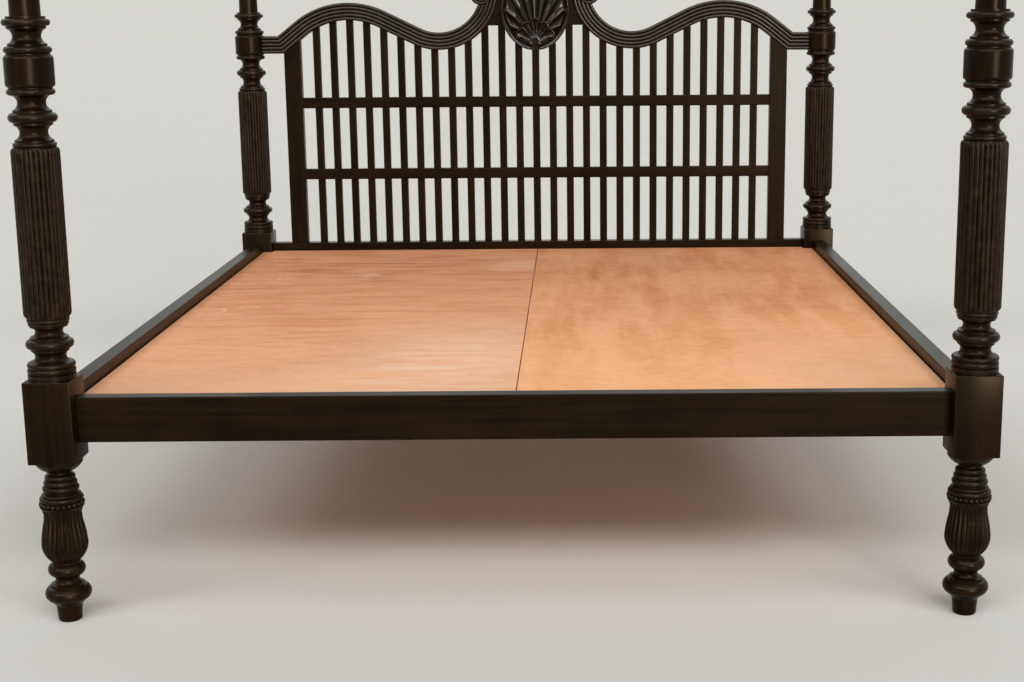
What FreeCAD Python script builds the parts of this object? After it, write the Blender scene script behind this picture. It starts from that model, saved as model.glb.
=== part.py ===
import FreeCAD, Part
import math
import os
import re
import Sketcher
from FreeCAD import Placement, Rotation, Vector

# A carved four-poster bed, in millimetres: +X to the right seen from the foot, +Y from foot to head, +Z up.
# The origin is on the floor, midway between the four posts.

SIZES = {
    # the mattress and the rails round it
    "mattress_width": 1829,
    "mattress_length": 2134,
    "mattress_gap": 12.5,
    "rail_thick": 38,
    "rail_high": 95,
    "rail_seat": 40,
    # the leg of a post, from the floor up
    "toe_radius": 24,
    "foot_high": 34,
    "foot_radius": 27,
    "bun_taper_high": 14,
    "bun_taper_radius": 42,
    "bun_high": 28,
    "bun_radius": 47.5,
    "bun_top_radius": 37,
    "ankle_high": 18.5,
    "ankle_radius": 24.5,
    "ankle_foot_radius": 34.5,
    "knop_high": 27.5,
    "knop_radius": 38.4,
    "knop_edge_radius": 28.5,
    "swell_high": 37,
    "swell_radius": 43,
    "vase_radius": 47.5,
    "vase_high": 44,
    "vase_side_radius": 45.3,
    "vase_shoulder_radius": 40.9,
    "vase_neck_high": 24,
    "vase_neck_radius": 38.6,
    "vase_neck_middle_radius": 39.2,
    "flare_high": 15,
    "flare_middle_radius": 41.4,
    "flare_radius": 45.2,
    "pearl_high": 12,
    "pearl_radius": 46.7,
    "collar_high": 10,
    "collar_radius": 44.6,
    "collar_foot_radius": 42.4,
    "collar_top_radius": 41,
    "collar_bead_high": 6,
    "collar_bead_radius": 39.8,
    "collar_groove_high": 4.5,
    "collar_groove_radius": 33.5,
    "hoop_high": 11.8,
    "hoop_radius": 37.4,
    "hoop_step": 3.1,
    "hoop_swell": 3.4,
    "wrist_high": 6.6,
    "wrist_radius": 23.3,
    "wrist_top_radius": 22.8,
    "dome_high": 20,
    "dome_radius": 41,
    # the square block and the mouldings that repeat up the column
    "block_side": 97,
    "block_high": 173,
    "edge_radius": 48.3,
    "fillet_high": 4.5,
    "fillet_radius": 38,
    "groove_high": 2,
    "groove_radius": 42.5,
    "throat_radius": 27.5,
    "cove_high": 29.5,
    "bead_high": 20,
    "bead_radius": 47.9,
    "small_bead_high": 9.5,
    "small_bead_radius": 42.6,
    "thin_bead_high": 13,
    "thin_bead_radius": 47,
    "cap_bead_high": 14.5,
    "cap_bead_radius": 46.6,
    # what is the column's own
    "plinth_high": 11,
    "ring_high": 10,
    "ring_edge_radius": 46.6,
    "lip_high": 10.5,
    "lip_radius": 48.2,
    "lip_top_radius": 43.6,
    "base_cove_high": 23,
    "base_throat_radius": 31,
    "low_cove_high": 21.5,
    "reed_foot_high": 16,
    "reed_foot_radius": 45.8,
    "reed_high": 312,
    "reed_radius": 47.4,
    "reed_top_high": 13,
    "reed_top_radius": 45.6,
    "drum_edge_high": 7,
    "drum_edge_radius": 46.7,
    "drum_high": 50,
    "shaft_high": 760,
    "shaft_radius": 30,
    "shaft_top_radius": 20,
    "post_tenon_long": 60,
    "post_tenon_radius": 14,
    # the finial on the shaft
    "finial_tenon_long": 25,
    "finial_tenon_radius": 7,
    "finial_bead_high": 13,
    "finial_bead_radius": 27,
    "finial_stem_high": 18,
    "finial_stem_radius": 13,
    "urn_seat_radius": 17,
    "urn_low_high": 26,
    "urn_low_radius": 28,
    "urn_radius": 34,
    "urn_top_high": 40,
    "urn_top_radius": 28,
    "urn_neck_radius": 14,
    "tip_bead_high": 10,
    "tip_bead_radius": 17,
    "tip_high": 30,
    "tip_radius": 9.5,
    "tip_end_radius": 4,
    # the deck that the mattress lies on
    "deck_recess": 26,
    "deck_thick": 12,
    "deck_gap": 3,
    "deck_seam": 2,
    "bearer_wide": 40,
    "bearer_deep": 48,
    "bearer_lap": 20,
    "bearer_inset": 90,
    "bearer_gap": 2,
    "ledger_wide": 28,
    "ledger_high": 28,
    "ledger_gap": 10,
    "ledger_screw_inset": 120,
    # the headboard
    "stile_gap": 65,
    "stile_wide": 56,
    "stile_thick": 32,
    "stile_tenon_long": 25,
    "stile_tenon_wide": 40,
    "tenon_thick": 12,
    "cross_rail_high": 35,
    "cross_rail_thick": 24,
    "cross_tenon_long": 20,
    "cross_tenon_high": 23,
    "low_cross_rise": 231,
    "high_cross_rise": 468,
    "slat_wide": 24,
    "slat_thick": 16,
    "slat_seat": 15,
    "slat_drop": 12,
    "slat_end_room": 8.5,
    "crest_wide": 57,
    "crest_thick": 40,
    "crest_tenon_long": 22,
    "crest_tenon_high": 36,
    "crest_end_long": 56.5,
    "hump_rise": 106.5,
    "dip_rise": 8,
    "scroll_gap": 10,
    "volute_radius": 47,
    "board_rise": 57.5,
    "board_high": 107,
    "board_thick": 20,
    "shell_rise": 104.5,
    "shell_wide": 223,
    "shell_high": 256,
    "shell_thick": 26,
    "shell_rim": 13,
    "shell_dish": 10,
    # the hook plates that join the rails to the posts
    "plate_wide": 22,
    "plate_high": 70,
    "plate_thick": 3,
    "hook_spread": 34,
    "hook_thick": 4,
    "hook_high": 9,
    "hook_reach": 5,
    "hook_drop": 4,
    "hook_clearance": 0.5,
    "plate_screw_spread": 58,
    # the countersunk wood screws
    "screw_radius": 2.2,
    "screw_head_radius": 4.2,
    "screw_head_deep": 2.4,
    "plate_screw_long": 22,
    "ledger_screw_long": 48,
    # fits
    "fit": 0.2,
    "tenon_room": 2,
}
SLAT_COUNT = 27
BEARER_COUNT = 5
LEDGER_SCREW_COUNT = 5
SCROLL_ANGLE = 86
# the hump's place between the scroll and the kink, and how round the hump and the dip are
HUMP_PLACE_SHARE = 0.677
HUMP_ROUND_SHARE = 0.885
DIP_ROUND_SHARE = 0.361
FRONT_BACK = {"front": -1, "back": 1}
LEFT_RIGHT = {"left": -1, "right": 1}

doc = FreeCAD.newDocument("carved_bed")
sheet = doc.addObject("Spreadsheet::Sheet", "sizes")
for row, (alias, number) in enumerate(SIZES.items(), 1):
    sheet.set(f"A{row}", alias)
    sheet.set(f"B{row}", str(number))
    sheet.setAlias(f"B{row}", alias)
doc.recompute()

subparts = []


# Sums of sizes, written as text, so that objects can be bound to them and code can read them

def linked(text):
    """The same sum with each size read from the sheet."""
    return re.sub(r"[a-z][a-z_]+", r"sizes.\g<0>", text)


def value(text):
    """A sum's number."""
    return float(sheet.evalExpression(linked(text)))


def middle(centre, wide):
    """The low and high end of a span about its centre."""
    return f"({centre}) - {wide} / 2", f"({centre}) + {wide} / 2"


def total(stack):
    """The height of a stack of mouldings, as a sum."""
    return "(" + " + ".join(item[0] for item in stack) + ")"


# Objects of the document

def keep(thing):
    """Mark an object as a sub-part of the bed."""
    subparts.append(thing)
    return thing


def box(label, x, y, z):
    """A block whose ends along each axis are sums."""
    block = doc.addObject("Part::Box", label)
    for length, axis, (low, high) in (("Length", "x", x), ("Width", "y", y), ("Height", "z", z)):
        block.setExpression(length, linked(f"({high}) - ({low})"))
        block.setExpression(f"Placement.Base.{axis}", linked(low))
    return block


def solid(label, shape, place=Placement()):
    """An object with a shape worked out in code, moved from where the shape lies."""
    feature = doc.addObject("Part::Feature", label)
    feature.Shape = shape
    feature.Placement = place.multiply(shape.Placement)
    return feature


def group(label, things):
    """Several objects as one."""
    together = doc.addObject("Part::Compound", label)
    together.Links = things
    return together


def cut(label, base, tools):
    """An object with others taken out of it."""
    carved = doc.addObject("Part::Cut", label)
    carved.Base = base
    carved.Tool = group(label + "_cuts", tools)
    return carved


def fuse(label, things):
    """Several touching objects as one solid."""
    joined = doc.addObject("Part::MultiFuse", label)
    joined.Shapes = things
    joined.Refine = True
    return joined


def body_from_outline(label, plane, points, thick, place):
    """A padded outline. Its points are pairs of sums, and place gives the body's own axes as sums."""
    body = doc.addObject("PartDesign::Body", label)
    support = [feature for feature in body.Origin.OriginFeatures if feature.Role == plane][0]
    sketch = body.newObject("Sketcher::SketchObject", label + "_outline")
    sketch.AttachmentSupport = (support, "")
    sketch.MapMode = "FlatFace"
    corners = [Vector(value(across), value(along), 0) for across, along in points]
    for corner, following in zip(corners, corners[1:] + corners[:1]):
        sketch.addGeometry(Part.LineSegment(corner, following))
    for index, (across, along) in enumerate(points):
        before = (index - 1) % len(points)
        corner = corners[index]
        sketch.addConstraint(Sketcher.Constraint("Coincident", before, 2, index, 1))
        for kind, text, number in (("DistanceX", across, corner.x), ("DistanceY", along, corner.y)):
            place_of = sketch.addConstraint(Sketcher.Constraint(kind, -1, 1, index, 1, number))
            sketch.setExpression(f"Constraints[{place_of}]", linked(text))
    pad = body.newObject("PartDesign::Pad", label + "_pad")
    pad.Profile = sketch
    pad.setExpression("Length", linked(thick))
    for axis, text in place.items():
        body.setExpression(f"Placement.Base.{axis}", linked(text))
    return body


# Where the frame stands

POST_X = "(mattress_width / 2 + mattress_gap + rail_thick / 2)"
POST_Y = "(mattress_length / 2 + mattress_gap + rail_thick / 2)"
FACE_X = f"({POST_X} - block_side / 2)"
FACE_Y = f"({POST_Y} - block_side / 2)"
WELL_X = "(mattress_width / 2 + mattress_gap)"
WELL_Y = "(mattress_length / 2 + mattress_gap)"


# Mouldings, each a height, a low radius, a middle radius if it is round, and a top radius

def band(high, radius):
    return high, radius, radius


def bead(high, radius):
    edge = f"{radius} - {high} / 2"
    return high, edge, radius, edge


def hoop(step):
    edge = f"hoop_radius - {step} * hoop_step - hoop_swell"
    return "hoop_high", edge, f"hoop_radius - {step} * hoop_step", edge


FILLET = band("fillet_high", "fillet_radius")
GROOVE = band("groove_high", "groove_radius")
COVE = ("cove_high", "fillet_radius", "throat_radius", "fillet_radius")

LEG = (
    ("foot_high", "toe_radius", "foot_radius"),
    ("bun_taper_high", "foot_radius", "bun_taper_radius"),
    ("bun_high", "bun_taper_radius", "bun_radius", "bun_top_radius"),
    band("fillet_high", "ankle_foot_radius"),
    ("ankle_high", "ankle_foot_radius", "ankle_radius", "knop_edge_radius"),
    ("knop_high", "knop_edge_radius", "knop_radius", "knop_edge_radius"),
    band("fillet_high", "knop_edge_radius"),
    ("swell_high", "knop_edge_radius", "swell_radius", "vase_radius"),
    ("vase_high", "vase_radius", "vase_side_radius", "vase_shoulder_radius"),
    ("vase_neck_high", "vase_shoulder_radius", "vase_neck_middle_radius", "vase_neck_radius"),
    ("flare_high", "vase_neck_radius", "flare_middle_radius", "flare_radius"),
    bead("pearl_high", "pearl_radius"),
    ("collar_high", "collar_foot_radius", "collar_radius", "collar_top_radius"),
    bead("collar_bead_high", "collar_bead_radius"),
    band("collar_groove_high", "collar_groove_radius"),
    hoop(0),
    hoop(1),
    hoop(2),
    ("wrist_high", "hoop_radius - 3 * hoop_step", "wrist_radius", "wrist_top_radius"),
    ("dome_high", "wrist_top_radius", "dome_radius", "edge_radius"),
    band("fillet_high", "edge_radius"),
)
COLUMN = (
    band("plinth_high", "edge_radius"),
    GROOVE,
    ("ring_high", "ring_edge_radius", "edge_radius", "ring_edge_radius"),
    GROOVE,
    ("lip_high", "ring_edge_radius", "lip_radius", "lip_top_radius"),
    ("base_cove_high", "lip_top_radius", "base_throat_radius", "fillet_radius"),
    FILLET,
    bead("bead_high", "bead_radius"),
    FILLET,
    ("low_cove_high", "fillet_radius", "throat_radius", "fillet_radius"),
    FILLET,
    band("fillet_high", "groove_radius - groove_high"),
    bead("small_bead_high", "small_bead_radius"),
    GROOVE,
    ("reed_foot_high", "groove_radius", "reed_foot_radius", "reed_radius"),
    band("reed_high", "reed_radius"),
    ("reed_top_high", "reed_radius", "reed_top_radius", "groove_radius"),
    GROOVE,
    bead("small_bead_high", "small_bead_radius"),
    FILLET,
    COVE,
    FILLET,
    bead("bead_high", "bead_radius"),
    FILLET,
    COVE,
    bead("thin_bead_high", "thin_bead_radius"),
    GROOVE,
)
DRUM = (
    ("drum_edge_high", "groove_radius", "drum_edge_radius", "bead_radius"),
    band("drum_high", "bead_radius"),
    ("drum_edge_high", "bead_radius", "drum_edge_radius", "groove_radius"),
)
UPPER = (
    band("post_tenon_long", "post_tenon_radius"),
    GROOVE,
    bead("cap_bead_high", "cap_bead_radius"),
    FILLET,
    COVE,
    FILLET,
    bead("cap_bead_high", "cap_bead_radius"),
    FILLET,
    ("shaft_high", "shaft_radius", "shaft_top_radius"),
)
FINIAL = (
    band("finial_tenon_long", "finial_tenon_radius"),
    bead("finial_bead_high", "finial_bead_radius"),
    ("finial_stem_high", "shaft_top_radius", "finial_stem_radius", "urn_seat_radius"),
    ("urn_low_high", "urn_seat_radius", "urn_low_radius", "urn_radius"),
    ("urn_top_high", "urn_radius", "urn_top_radius", "urn_neck_radius"),
    bead("tip_bead_high", "tip_bead_radius"),
    ("tip_high", "urn_neck_radius", "tip_radius", "tip_end_radius"),
)

BLOCK_Z = total(LEG)
COLUMN_Z = f"({BLOCK_Z} + block_high)"
DRUM_Z = f"({COLUMN_Z} + {total(COLUMN)})"
UPPER_Z = f"({DRUM_Z} + {total(DRUM)})"
SHAFT_TOP_Z = f"({UPPER_Z} + {total(UPPER[1:])})"
CREST_Z = f"({DRUM_Z} + {total(DRUM)} / 2)"
RAIL_Z = f"({BLOCK_Z} + rail_seat)"
RAIL_TOP_Z = f"({RAIL_Z} + rail_high)"
RAIL_MIDDLE_Z = f"({RAIL_Z} + rail_high / 2)"
DECK_Z = f"({RAIL_TOP_Z} - deck_recess - deck_thick)"
LEDGER_TOP_Z = f"({DECK_Z} - bearer_lap)"


def turning(stack, foot):
    """The solid that a stack of mouldings makes when it is turned about +Z, from a foot height up."""
    height = value(foot)
    last = Vector(0, 0, height)
    edges = []
    for item in stack:
        low = Vector(value(item[1]), 0, height)
        top = Vector(value(item[-1]), 0, height + value(item[0]))
        if not low.isEqual(last, 0):
            edges.append(Part.LineSegment(last, low).toShape())
        if len(item) == len(COVE):
            halfway = Vector(value(item[2]), 0, (low.z + top.z) / 2)
            edges.append(Part.Arc(low, halfway, top).toShape())
        else:
            edges.append(Part.LineSegment(low, top).toShape())
        height = top.z
        last = top
    crown = Vector(0, 0, height)
    edges.append(Part.LineSegment(last, crown).toShape())
    edges.append(Part.LineSegment(crown, Vector(0, 0, value(foot))).toShape())
    return Part.Face(Part.Wire(edges)).revolve(Vector(0, 0, 0), Vector(0, 0, 1), 360)


def span_box(x, y, z):
    """A block between numbers along each axis."""
    return Part.makeBox(x[1] - x[0], y[1] - y[0], z[1] - z[0], Vector(x[0], y[0], z[0]))


def about(centre, half):
    """The low and high number of a span about its centre."""
    return centre - half, centre + half


# Hook plates, in their own axes: the joint's plane is at y = 0, the rail behind it and the post ahead

def screw(long, room):
    """A countersunk screw from its head's face along +Y, or the hole that takes it with some room."""
    radius = value("screw_radius") + room
    start = Vector(0, 0, 0)
    forward = Vector(0, 1, 0)
    head = Part.makeCone(value("screw_head_radius") + room, radius, value("screw_head_deep"), start, forward)
    shank = Part.makeCylinder(radius, value(long) + room, start, forward)
    return head.fuse(shank).removeSplitter()


def turned_about_z(shape, angle, place):
    """A copy of a shape, turned and then moved."""
    copy = shape.copy()
    copy.Placement = Placement(place, Rotation(Vector(0, 0, 1), angle))
    return copy


def plate_screws(room):
    """The screws of one joint: two ahead through the post's plate and two back through the rail's."""
    shape = screw("plate_screw_long", room)
    heights = about(0, value("plate_screw_spread / 2"))
    ahead = [turned_about_z(shape, 0, Vector(0, 0, height)) for height in heights]
    back = [turned_about_z(shape, 180, Vector(0, 0, height)) for height in heights]
    return ahead, back


def plate(y, room):
    """The block of one plate."""
    return span_box(about(0, value("plate_wide / 2") + room), y, about(0, value("plate_high / 2") + room))


def bracket():
    """One joint's two plates, and what they need cut from the rail and from the post."""
    thick = value("plate_thick")
    room = value("fit")
    clear = value("hook_clearance")
    half_hook = value("hook_high / 2")
    drop = value("hook_drop")
    behind = thick + clear
    end = behind + value("hook_reach")
    flat = about(0, value("hook_thick / 2"))
    loose = about(0, value("hook_thick / 2") + clear)
    hooks = []
    slots = []
    pockets = []
    for height in about(0, value("hook_spread / 2")):
        hooks.append(span_box(flat, (0, end), about(height, half_hook)))
        hooks.append(span_box(flat, (behind, end), (height - half_hook - drop, height)))
        slots.append(span_box(loose, (0, thick), (height - half_hook - clear, height + half_hook + drop)))
        pockets.append(span_box(loose, (thick, end + clear),
                                (height - half_hook - drop - clear, height + half_hook + drop)))
    ahead, back = plate_screws(room)
    hook_plate = plate((-thick, 0), 0).multiFuse(hooks).cut(Part.makeCompound(back)).removeSplitter()
    keeper_plate = plate((0, thick), 0).cut(Part.makeCompound(slots + ahead))
    rail_cuts = [plate((-thick, 0), room)] + back
    post_cuts = [plate((0, thick), room)] + pockets + ahead
    return hook_plate, keeper_plate, Part.makeCompound(rail_cuts), Part.makeCompound(post_cuts)


def joints():
    """Each joint between a rail and a post: the rail, the post, the joint's place and its turn about +Z."""
    height = value(RAIL_MIDDLE_Z)
    places = []
    for end, along in FRONT_BACK.items():
        for side, across in LEFT_RIGHT.items():
            post = f"{end}_{side}"
            beside = Vector(across * value(POST_X), along * value(FACE_Y), height)
            places.append((f"side_rail_{side}", post, beside, 90 - 90 * along))
            ahead = Vector(across * value(FACE_X), along * value(POST_Y), height)
            places.append(("head_rail" if along > 0 else "foot_rail", post, ahead, -90 * across))
    return places


HOOK_PLATE, KEEPER_PLATE, RAIL_CUTS, POST_CUTS = bracket()
JOINTS = joints()


def at_joints(shape):
    """A shape once at each joint."""
    return Part.makeCompound([turned_about_z(shape, turn, place) for _, _, place, turn in JOINTS])


def joint_cuts(name, shape, member):
    """The cuts at the joints of one rail or one post."""
    return [solid(f"{name}_joint_{index}", turned_about_z(shape, joint[3], joint[2]))
            for index, joint in enumerate(JOINTS) if joint[member] == name]


# The crest's middle line, for the right half: an end, a rise over a hump, a dip and a turn up to the volute

def on_circle(centre, radius, angle):
    return Vector(centre.x + radius * math.cos(angle), 0, centre.z + radius * math.sin(angle))


def bearing(start, end):
    return math.atan2(end.z - start.z, end.x - start.x)


SCROLL_X = "(shell_wide / 2 + scroll_gap + crest_wide / 2)"
KINK = Vector(value(f"{POST_X} - bead_radius - crest_end_long"), 0, value(CREST_Z))
HUMP_RUN = HUMP_PLACE_SHARE * (KINK.x - value(SCROLL_X))
RISE_RUN = KINK.x - value(SCROLL_X) - HUMP_RUN
HUMP_RISE = value("hump_rise")
HUMP_RADIUS = HUMP_ROUND_SHARE * (RISE_RUN ** 2 + HUMP_RISE ** 2) / (2 * HUMP_RISE)
DIP_RADIUS = DIP_ROUND_SHARE * HUMP_RUN
HUMP = Vector(value(SCROLL_X) + HUMP_RUN, 0, KINK.z + HUMP_RISE - HUMP_RADIUS)
DIP = Vector(value(SCROLL_X) + DIP_RADIUS, 0, KINK.z + value("dip_rise") + DIP_RADIUS)
RISE_ANGLE = bearing(HUMP, KINK) + math.acos(HUMP_RADIUS / HUMP.distanceToPoint(KINK))
FALL_ANGLE = bearing(HUMP, DIP) - math.acos((HUMP_RADIUS + DIP_RADIUS) / HUMP.distanceToPoint(DIP))
SCROLL_TURN = math.radians(-90 - SCROLL_ANGLE)


def crest_height(x):
    """The height of the crest's middle line at a distance from the bed's middle."""
    rise = on_circle(HUMP, HUMP_RADIUS, RISE_ANGLE)
    fall = on_circle(HUMP, HUMP_RADIUS, FALL_ANGLE)
    foot = on_circle(DIP, -DIP_RADIUS, FALL_ANGLE)
    if x > KINK.x:
        return KINK.z
    if x > rise.x:
        return KINK.z + (rise.z - KINK.z) * (KINK.x - x) / (KINK.x - rise.x)
    if x > fall.x:
        return HUMP.z + math.sqrt(HUMP_RADIUS ** 2 - (x - HUMP.x) ** 2)
    if x > foot.x:
        return fall.z + (foot.z - fall.z) * (fall.x - x) / (fall.x - foot.x)
    return DIP.z - math.sqrt(DIP_RADIUS ** 2 - (x - DIP.x) ** 2)


def crest_edge(offset):
    """The points along one edge of the crest, from the post to the volute, and the middles of its arcs."""
    over = HUMP_RADIUS + offset
    under = DIP_RADIUS - offset
    rise = on_circle(HUMP, over, RISE_ANGLE)
    slope = math.tan(RISE_ANGLE - math.pi / 2)
    level = KINK.z + offset
    kink = Vector(rise.x + (level - rise.z) / slope, 0, level)
    fall = on_circle(HUMP, over, FALL_ANGLE)
    foot = on_circle(DIP, -under, FALL_ANGLE)
    foot_angle = FALL_ANGLE - math.pi
    return {
        "end": Vector(value(POST_X), 0, level),
        "kink": kink,
        "rise": rise,
        "hump": on_circle(HUMP, over, (RISE_ANGLE + FALL_ANGLE) / 2),
        "fall": fall,
        "foot": foot,
        "dip": on_circle(DIP, under, (foot_angle + SCROLL_TURN) / 2),
        "scroll": on_circle(DIP, under, SCROLL_TURN),
    }


def crest_outline():
    """The closed outline of the right half of the crest, without its volute."""
    half = value("crest_wide / 2")
    top = crest_edge(half)
    low = crest_edge(-half)
    edges = []
    for edge in (top, low):
        edges.append(Part.LineSegment(edge["end"], edge["kink"]).toShape())
        edges.append(Part.LineSegment(edge["kink"], edge["rise"]).toShape())
        edges.append(Part.Arc(edge["rise"], edge["hump"], edge["fall"]).toShape())
        edges.append(Part.LineSegment(edge["fall"], edge["foot"]).toShape())
        edges.append(Part.Arc(edge["foot"], edge["dip"], edge["scroll"]).toShape())
    edges.append(Part.LineSegment(top["end"], low["end"]).toShape())
    edges.append(Part.LineSegment(top["scroll"], low["scroll"]).toShape())
    return Part.Wire(Part.__sortEdges__(edges))


def crest_half():
    """The right half of the crest in the headboard's plane, y = 0 at its middle."""
    thick = value("crest_thick")
    radius = value("volute_radius")
    volute_at = on_circle(DIP, DIP_RADIUS + value("crest_wide / 2") - radius, SCROLL_TURN)
    plank = Part.Face(crest_outline()).extrude(Vector(0, thick, 0))
    volute = Part.makeCylinder(radius, thick, volute_at, Vector(0, 1, 0))
    half = plank.fuse(volute).removeSplitter()
    half.translate(Vector(0, -thick / 2, 0))
    drum = Part.makeCylinder(value("bead_radius + fit"), value("crest_wide * 2"),
                             Vector(value(POST_X), 0, value(f"{CREST_Z} - crest_wide")))
    beyond = span_box((value(POST_X), value(f"{POST_X} + block_side")), about(0, thick),
                      about(KINK.z, value("crest_wide")))
    return half.cut(Part.makeCompound([drum.fuse(beyond)]))


def largest(shape):
    """The largest solid of a shape."""
    return max(shape.Solids, key=lambda piece: piece.Volume)


# The posts

def tenon_hole(tenon, top):
    """The hole that takes a round tenon, from the height of its mouth down."""
    deep = value(f"{tenon}_long + tenon_room")
    return Part.makeCylinder(value(f"{tenon}_radius + fit"), deep, Vector(0, 0, value(top) - deep))


def make_posts():
    leg = turning(LEG, "0")
    half = value("block_side / 2")
    block = span_box(about(0, half), about(0, half), (value(BLOCK_Z), value(COLUMN_Z)))
    column = turning(COLUMN + DRUM, COLUMN_Z)
    blank = leg.multiFuse([block, column]).removeSplitter()
    upper = turning(UPPER, f"{UPPER_Z} - post_tenon_long")
    finial = turning(FINIAL, f"{SHAFT_TOP_Z} - finial_tenon_long")
    post_hole = tenon_hole("post_tenon", UPPER_Z)
    finial_hole = tenon_hole("finial_tenon", SHAFT_TOP_Z)
    for end, along in FRONT_BACK.items():
        for side, across in LEFT_RIGHT.items():
            post = f"{end}_{side}"
            place = Placement(Vector(across * value(POST_X), along * value(POST_Y), 0), Rotation())
            cuts = joint_cuts(post, POST_CUTS, 1)
            cuts.append(solid(f"{post}_post_hole", post_hole, place))
            if along > 0:
                cuts.append(crest_tenon(f"{side}_crest_mortise", across, "fit"))
            keep(cut(f"lower_post_{post}", solid(f"{post}_blank", blank, place), cuts))
            keep(cut(f"upper_post_{post}", solid(f"{post}_shaft", upper, place),
                     [solid(f"{post}_finial_hole", finial_hole, place)]))
            keep(solid(f"finial_{post}", finial, place))


# The rails and the deck

def make_rails():
    height = (RAIL_Z, RAIL_TOP_Z)
    for side, across in LEFT_RIGHT.items():
        name = f"side_rail_{side}"
        thick = middle(f"{across} * {POST_X}", "rail_thick")
        blank = box(name + "_blank", thick, (f"-{FACE_Y}", FACE_Y), height)
        holes = solid(name + "_screw_holes", ledger_screws(side, "fit"))
        keep(cut(name, blank, joint_cuts(name, RAIL_CUTS, 0) + [holes]))
    foot = box("foot_rail_blank", (f"-{FACE_X}", FACE_X), middle(f"-{POST_Y}", "rail_thick"), height)
    keep(cut("foot_rail", foot, joint_cuts("foot_rail", RAIL_CUTS, 0)))
    head = box("head_rail_blank", (f"-{FACE_X}", FACE_X), middle(POST_Y, "rail_thick"), height)
    mortises = [slat_room] + [stile_tenon(side, "fit") for side in LEFT_RIGHT]
    keep(cut("head_rail", head, joint_cuts("head_rail", RAIL_CUTS, 0) + mortises))


def ledger_screws(side, room):
    """The screws of one ledger, or their holes."""
    across = LEFT_RIGHT[side]
    height = value(f"{LEDGER_TOP_Z} - ledger_high / 2")
    reach = value(f"{FACE_Y} - ledger_gap - ledger_screw_inset")
    step = 2 * reach / (LEDGER_SCREW_COUNT - 1)
    head = across * value(f"{WELL_X} - ledger_wide")
    shape = screw("ledger_screw_long", value(room))
    return Part.makeCompound([turned_about_z(shape, -90 * across, Vector(head, index * step - reach, height))
                              for index in range(LEDGER_SCREW_COUNT)])


def make_ledgers():
    for side, across in LEFT_RIGHT.items():
        ends = middle(f"{across} * ({WELL_X} - ledger_wide / 2)", "ledger_wide")
        reach = f"({FACE_Y} - ledger_gap)"
        height = (f"{LEDGER_TOP_Z} - ledger_high", LEDGER_TOP_Z)
        strip = box(f"ledger_{side}_blank", ends, (f"-{reach}", reach), height)
        keep(cut(f"ledger_{side}", strip, [solid(f"ledger_{side}_holes", ledger_screws(side, "fit"))]))


def make_bearers():
    """Bars across the bed, lapped over the ledgers at their ends."""
    end = f"({WELL_X} - fit)"
    shoulder = f"({WELL_X} - ledger_wide - bearer_gap)"
    lap = "bearer_deep - bearer_lap"
    points = [(f"-{shoulder}", "0"), (shoulder, "0"), (shoulder, lap), (end, lap), (end, "bearer_deep"),
              (f"-{end}", "bearer_deep"), (f"-{end}", lap), (f"-{shoulder}", lap)]
    bars = []
    for index in range(BEARER_COUNT):
        share = 2 * index / (BEARER_COUNT - 1) - 1
        along = f"{share} * ({WELL_Y} - bearer_inset) + bearer_wide / 2"
        place = {"y": along, "z": f"{DECK_Z} - bearer_deep"}
        bars.append(body_from_outline(f"bearer_{index + 1}", "XZ_Plane", points, "bearer_wide", place))
    keep(group("cross_bearers", bars))


def make_deck():
    """Two loose panels, notched round the posts' blocks."""
    outer = f"({WELL_X} - deck_gap)"
    notch = f"({FACE_X} - deck_gap)"
    end = f"({WELL_Y} - deck_gap)"
    shoulder = f"({FACE_Y} - deck_gap)"
    inner = "deck_seam / 2"
    outline = [(inner, f"-{end}"), (notch, f"-{end}"), (notch, f"-{shoulder}"), (outer, f"-{shoulder}"),
               (outer, shoulder), (notch, shoulder), (notch, end), (inner, end)]
    for side, across in LEFT_RIGHT.items():
        points = [(f"{across} * {x}", y) for x, y in outline]
        keep(body_from_outline(f"deck_panel_{side}", "XY_Plane", points, "deck_thick", {"z": DECK_Z}))


# The headboard

STILE_X = f"({POST_X} - bead_radius - stile_gap - stile_wide / 2)"
STILE_INNER = f"({STILE_X} - stile_wide / 2)"
SLAT_PITCH = f"((2 * ({STILE_INNER} - slat_end_room) + slat_wide) / {SLAT_COUNT + 1})"
CROSS_RISES = {"lower": "low_cross_rise", "upper": "high_cross_rise"}


def slat_ends(index):
    """A slat's place across the bed and the height of its top, set by the crest or by the board."""
    x = (index - SLAT_COUNT // 2) * value(SLAT_PITCH)
    if abs(x) < value(SCROLL_X):
        return x, value(f"{CREST_Z} + board_rise + slat_drop")
    return x, crest_height(abs(x)) - value("slat_drop")


def slat_blocks(room):
    """The slats as blocks, or the mortises that take them."""
    foot = value(f"{RAIL_TOP_Z} - slat_seat") - room
    depth = about(value(POST_Y), value("slat_thick / 2") + room)
    blocks = []
    for index in range(SLAT_COUNT):
        x, top = slat_ends(index)
        blocks.append(span_box(about(x, value("slat_wide / 2") + room), depth, (foot, top + room)))
    return blocks


def make_slats():
    for index, block in enumerate(slat_blocks(0), 1):
        keep(solid(f"slat_{index:02d}", block))


def stile_tenon(side, room):
    """The tenon under a stile, or its mortise in the head rail."""
    label = f"stile_{side}_tenon_{room}"
    return box(label, middle(f"{LEFT_RIGHT[side]} * {STILE_X}", f"(stile_tenon_wide + 2 * {room})"),
               middle(POST_Y, f"(tenon_thick + 2 * {room})"),
               (f"{RAIL_TOP_Z} - stile_tenon_long - {room}", f"{RAIL_TOP_Z} + {room}"))


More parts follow.
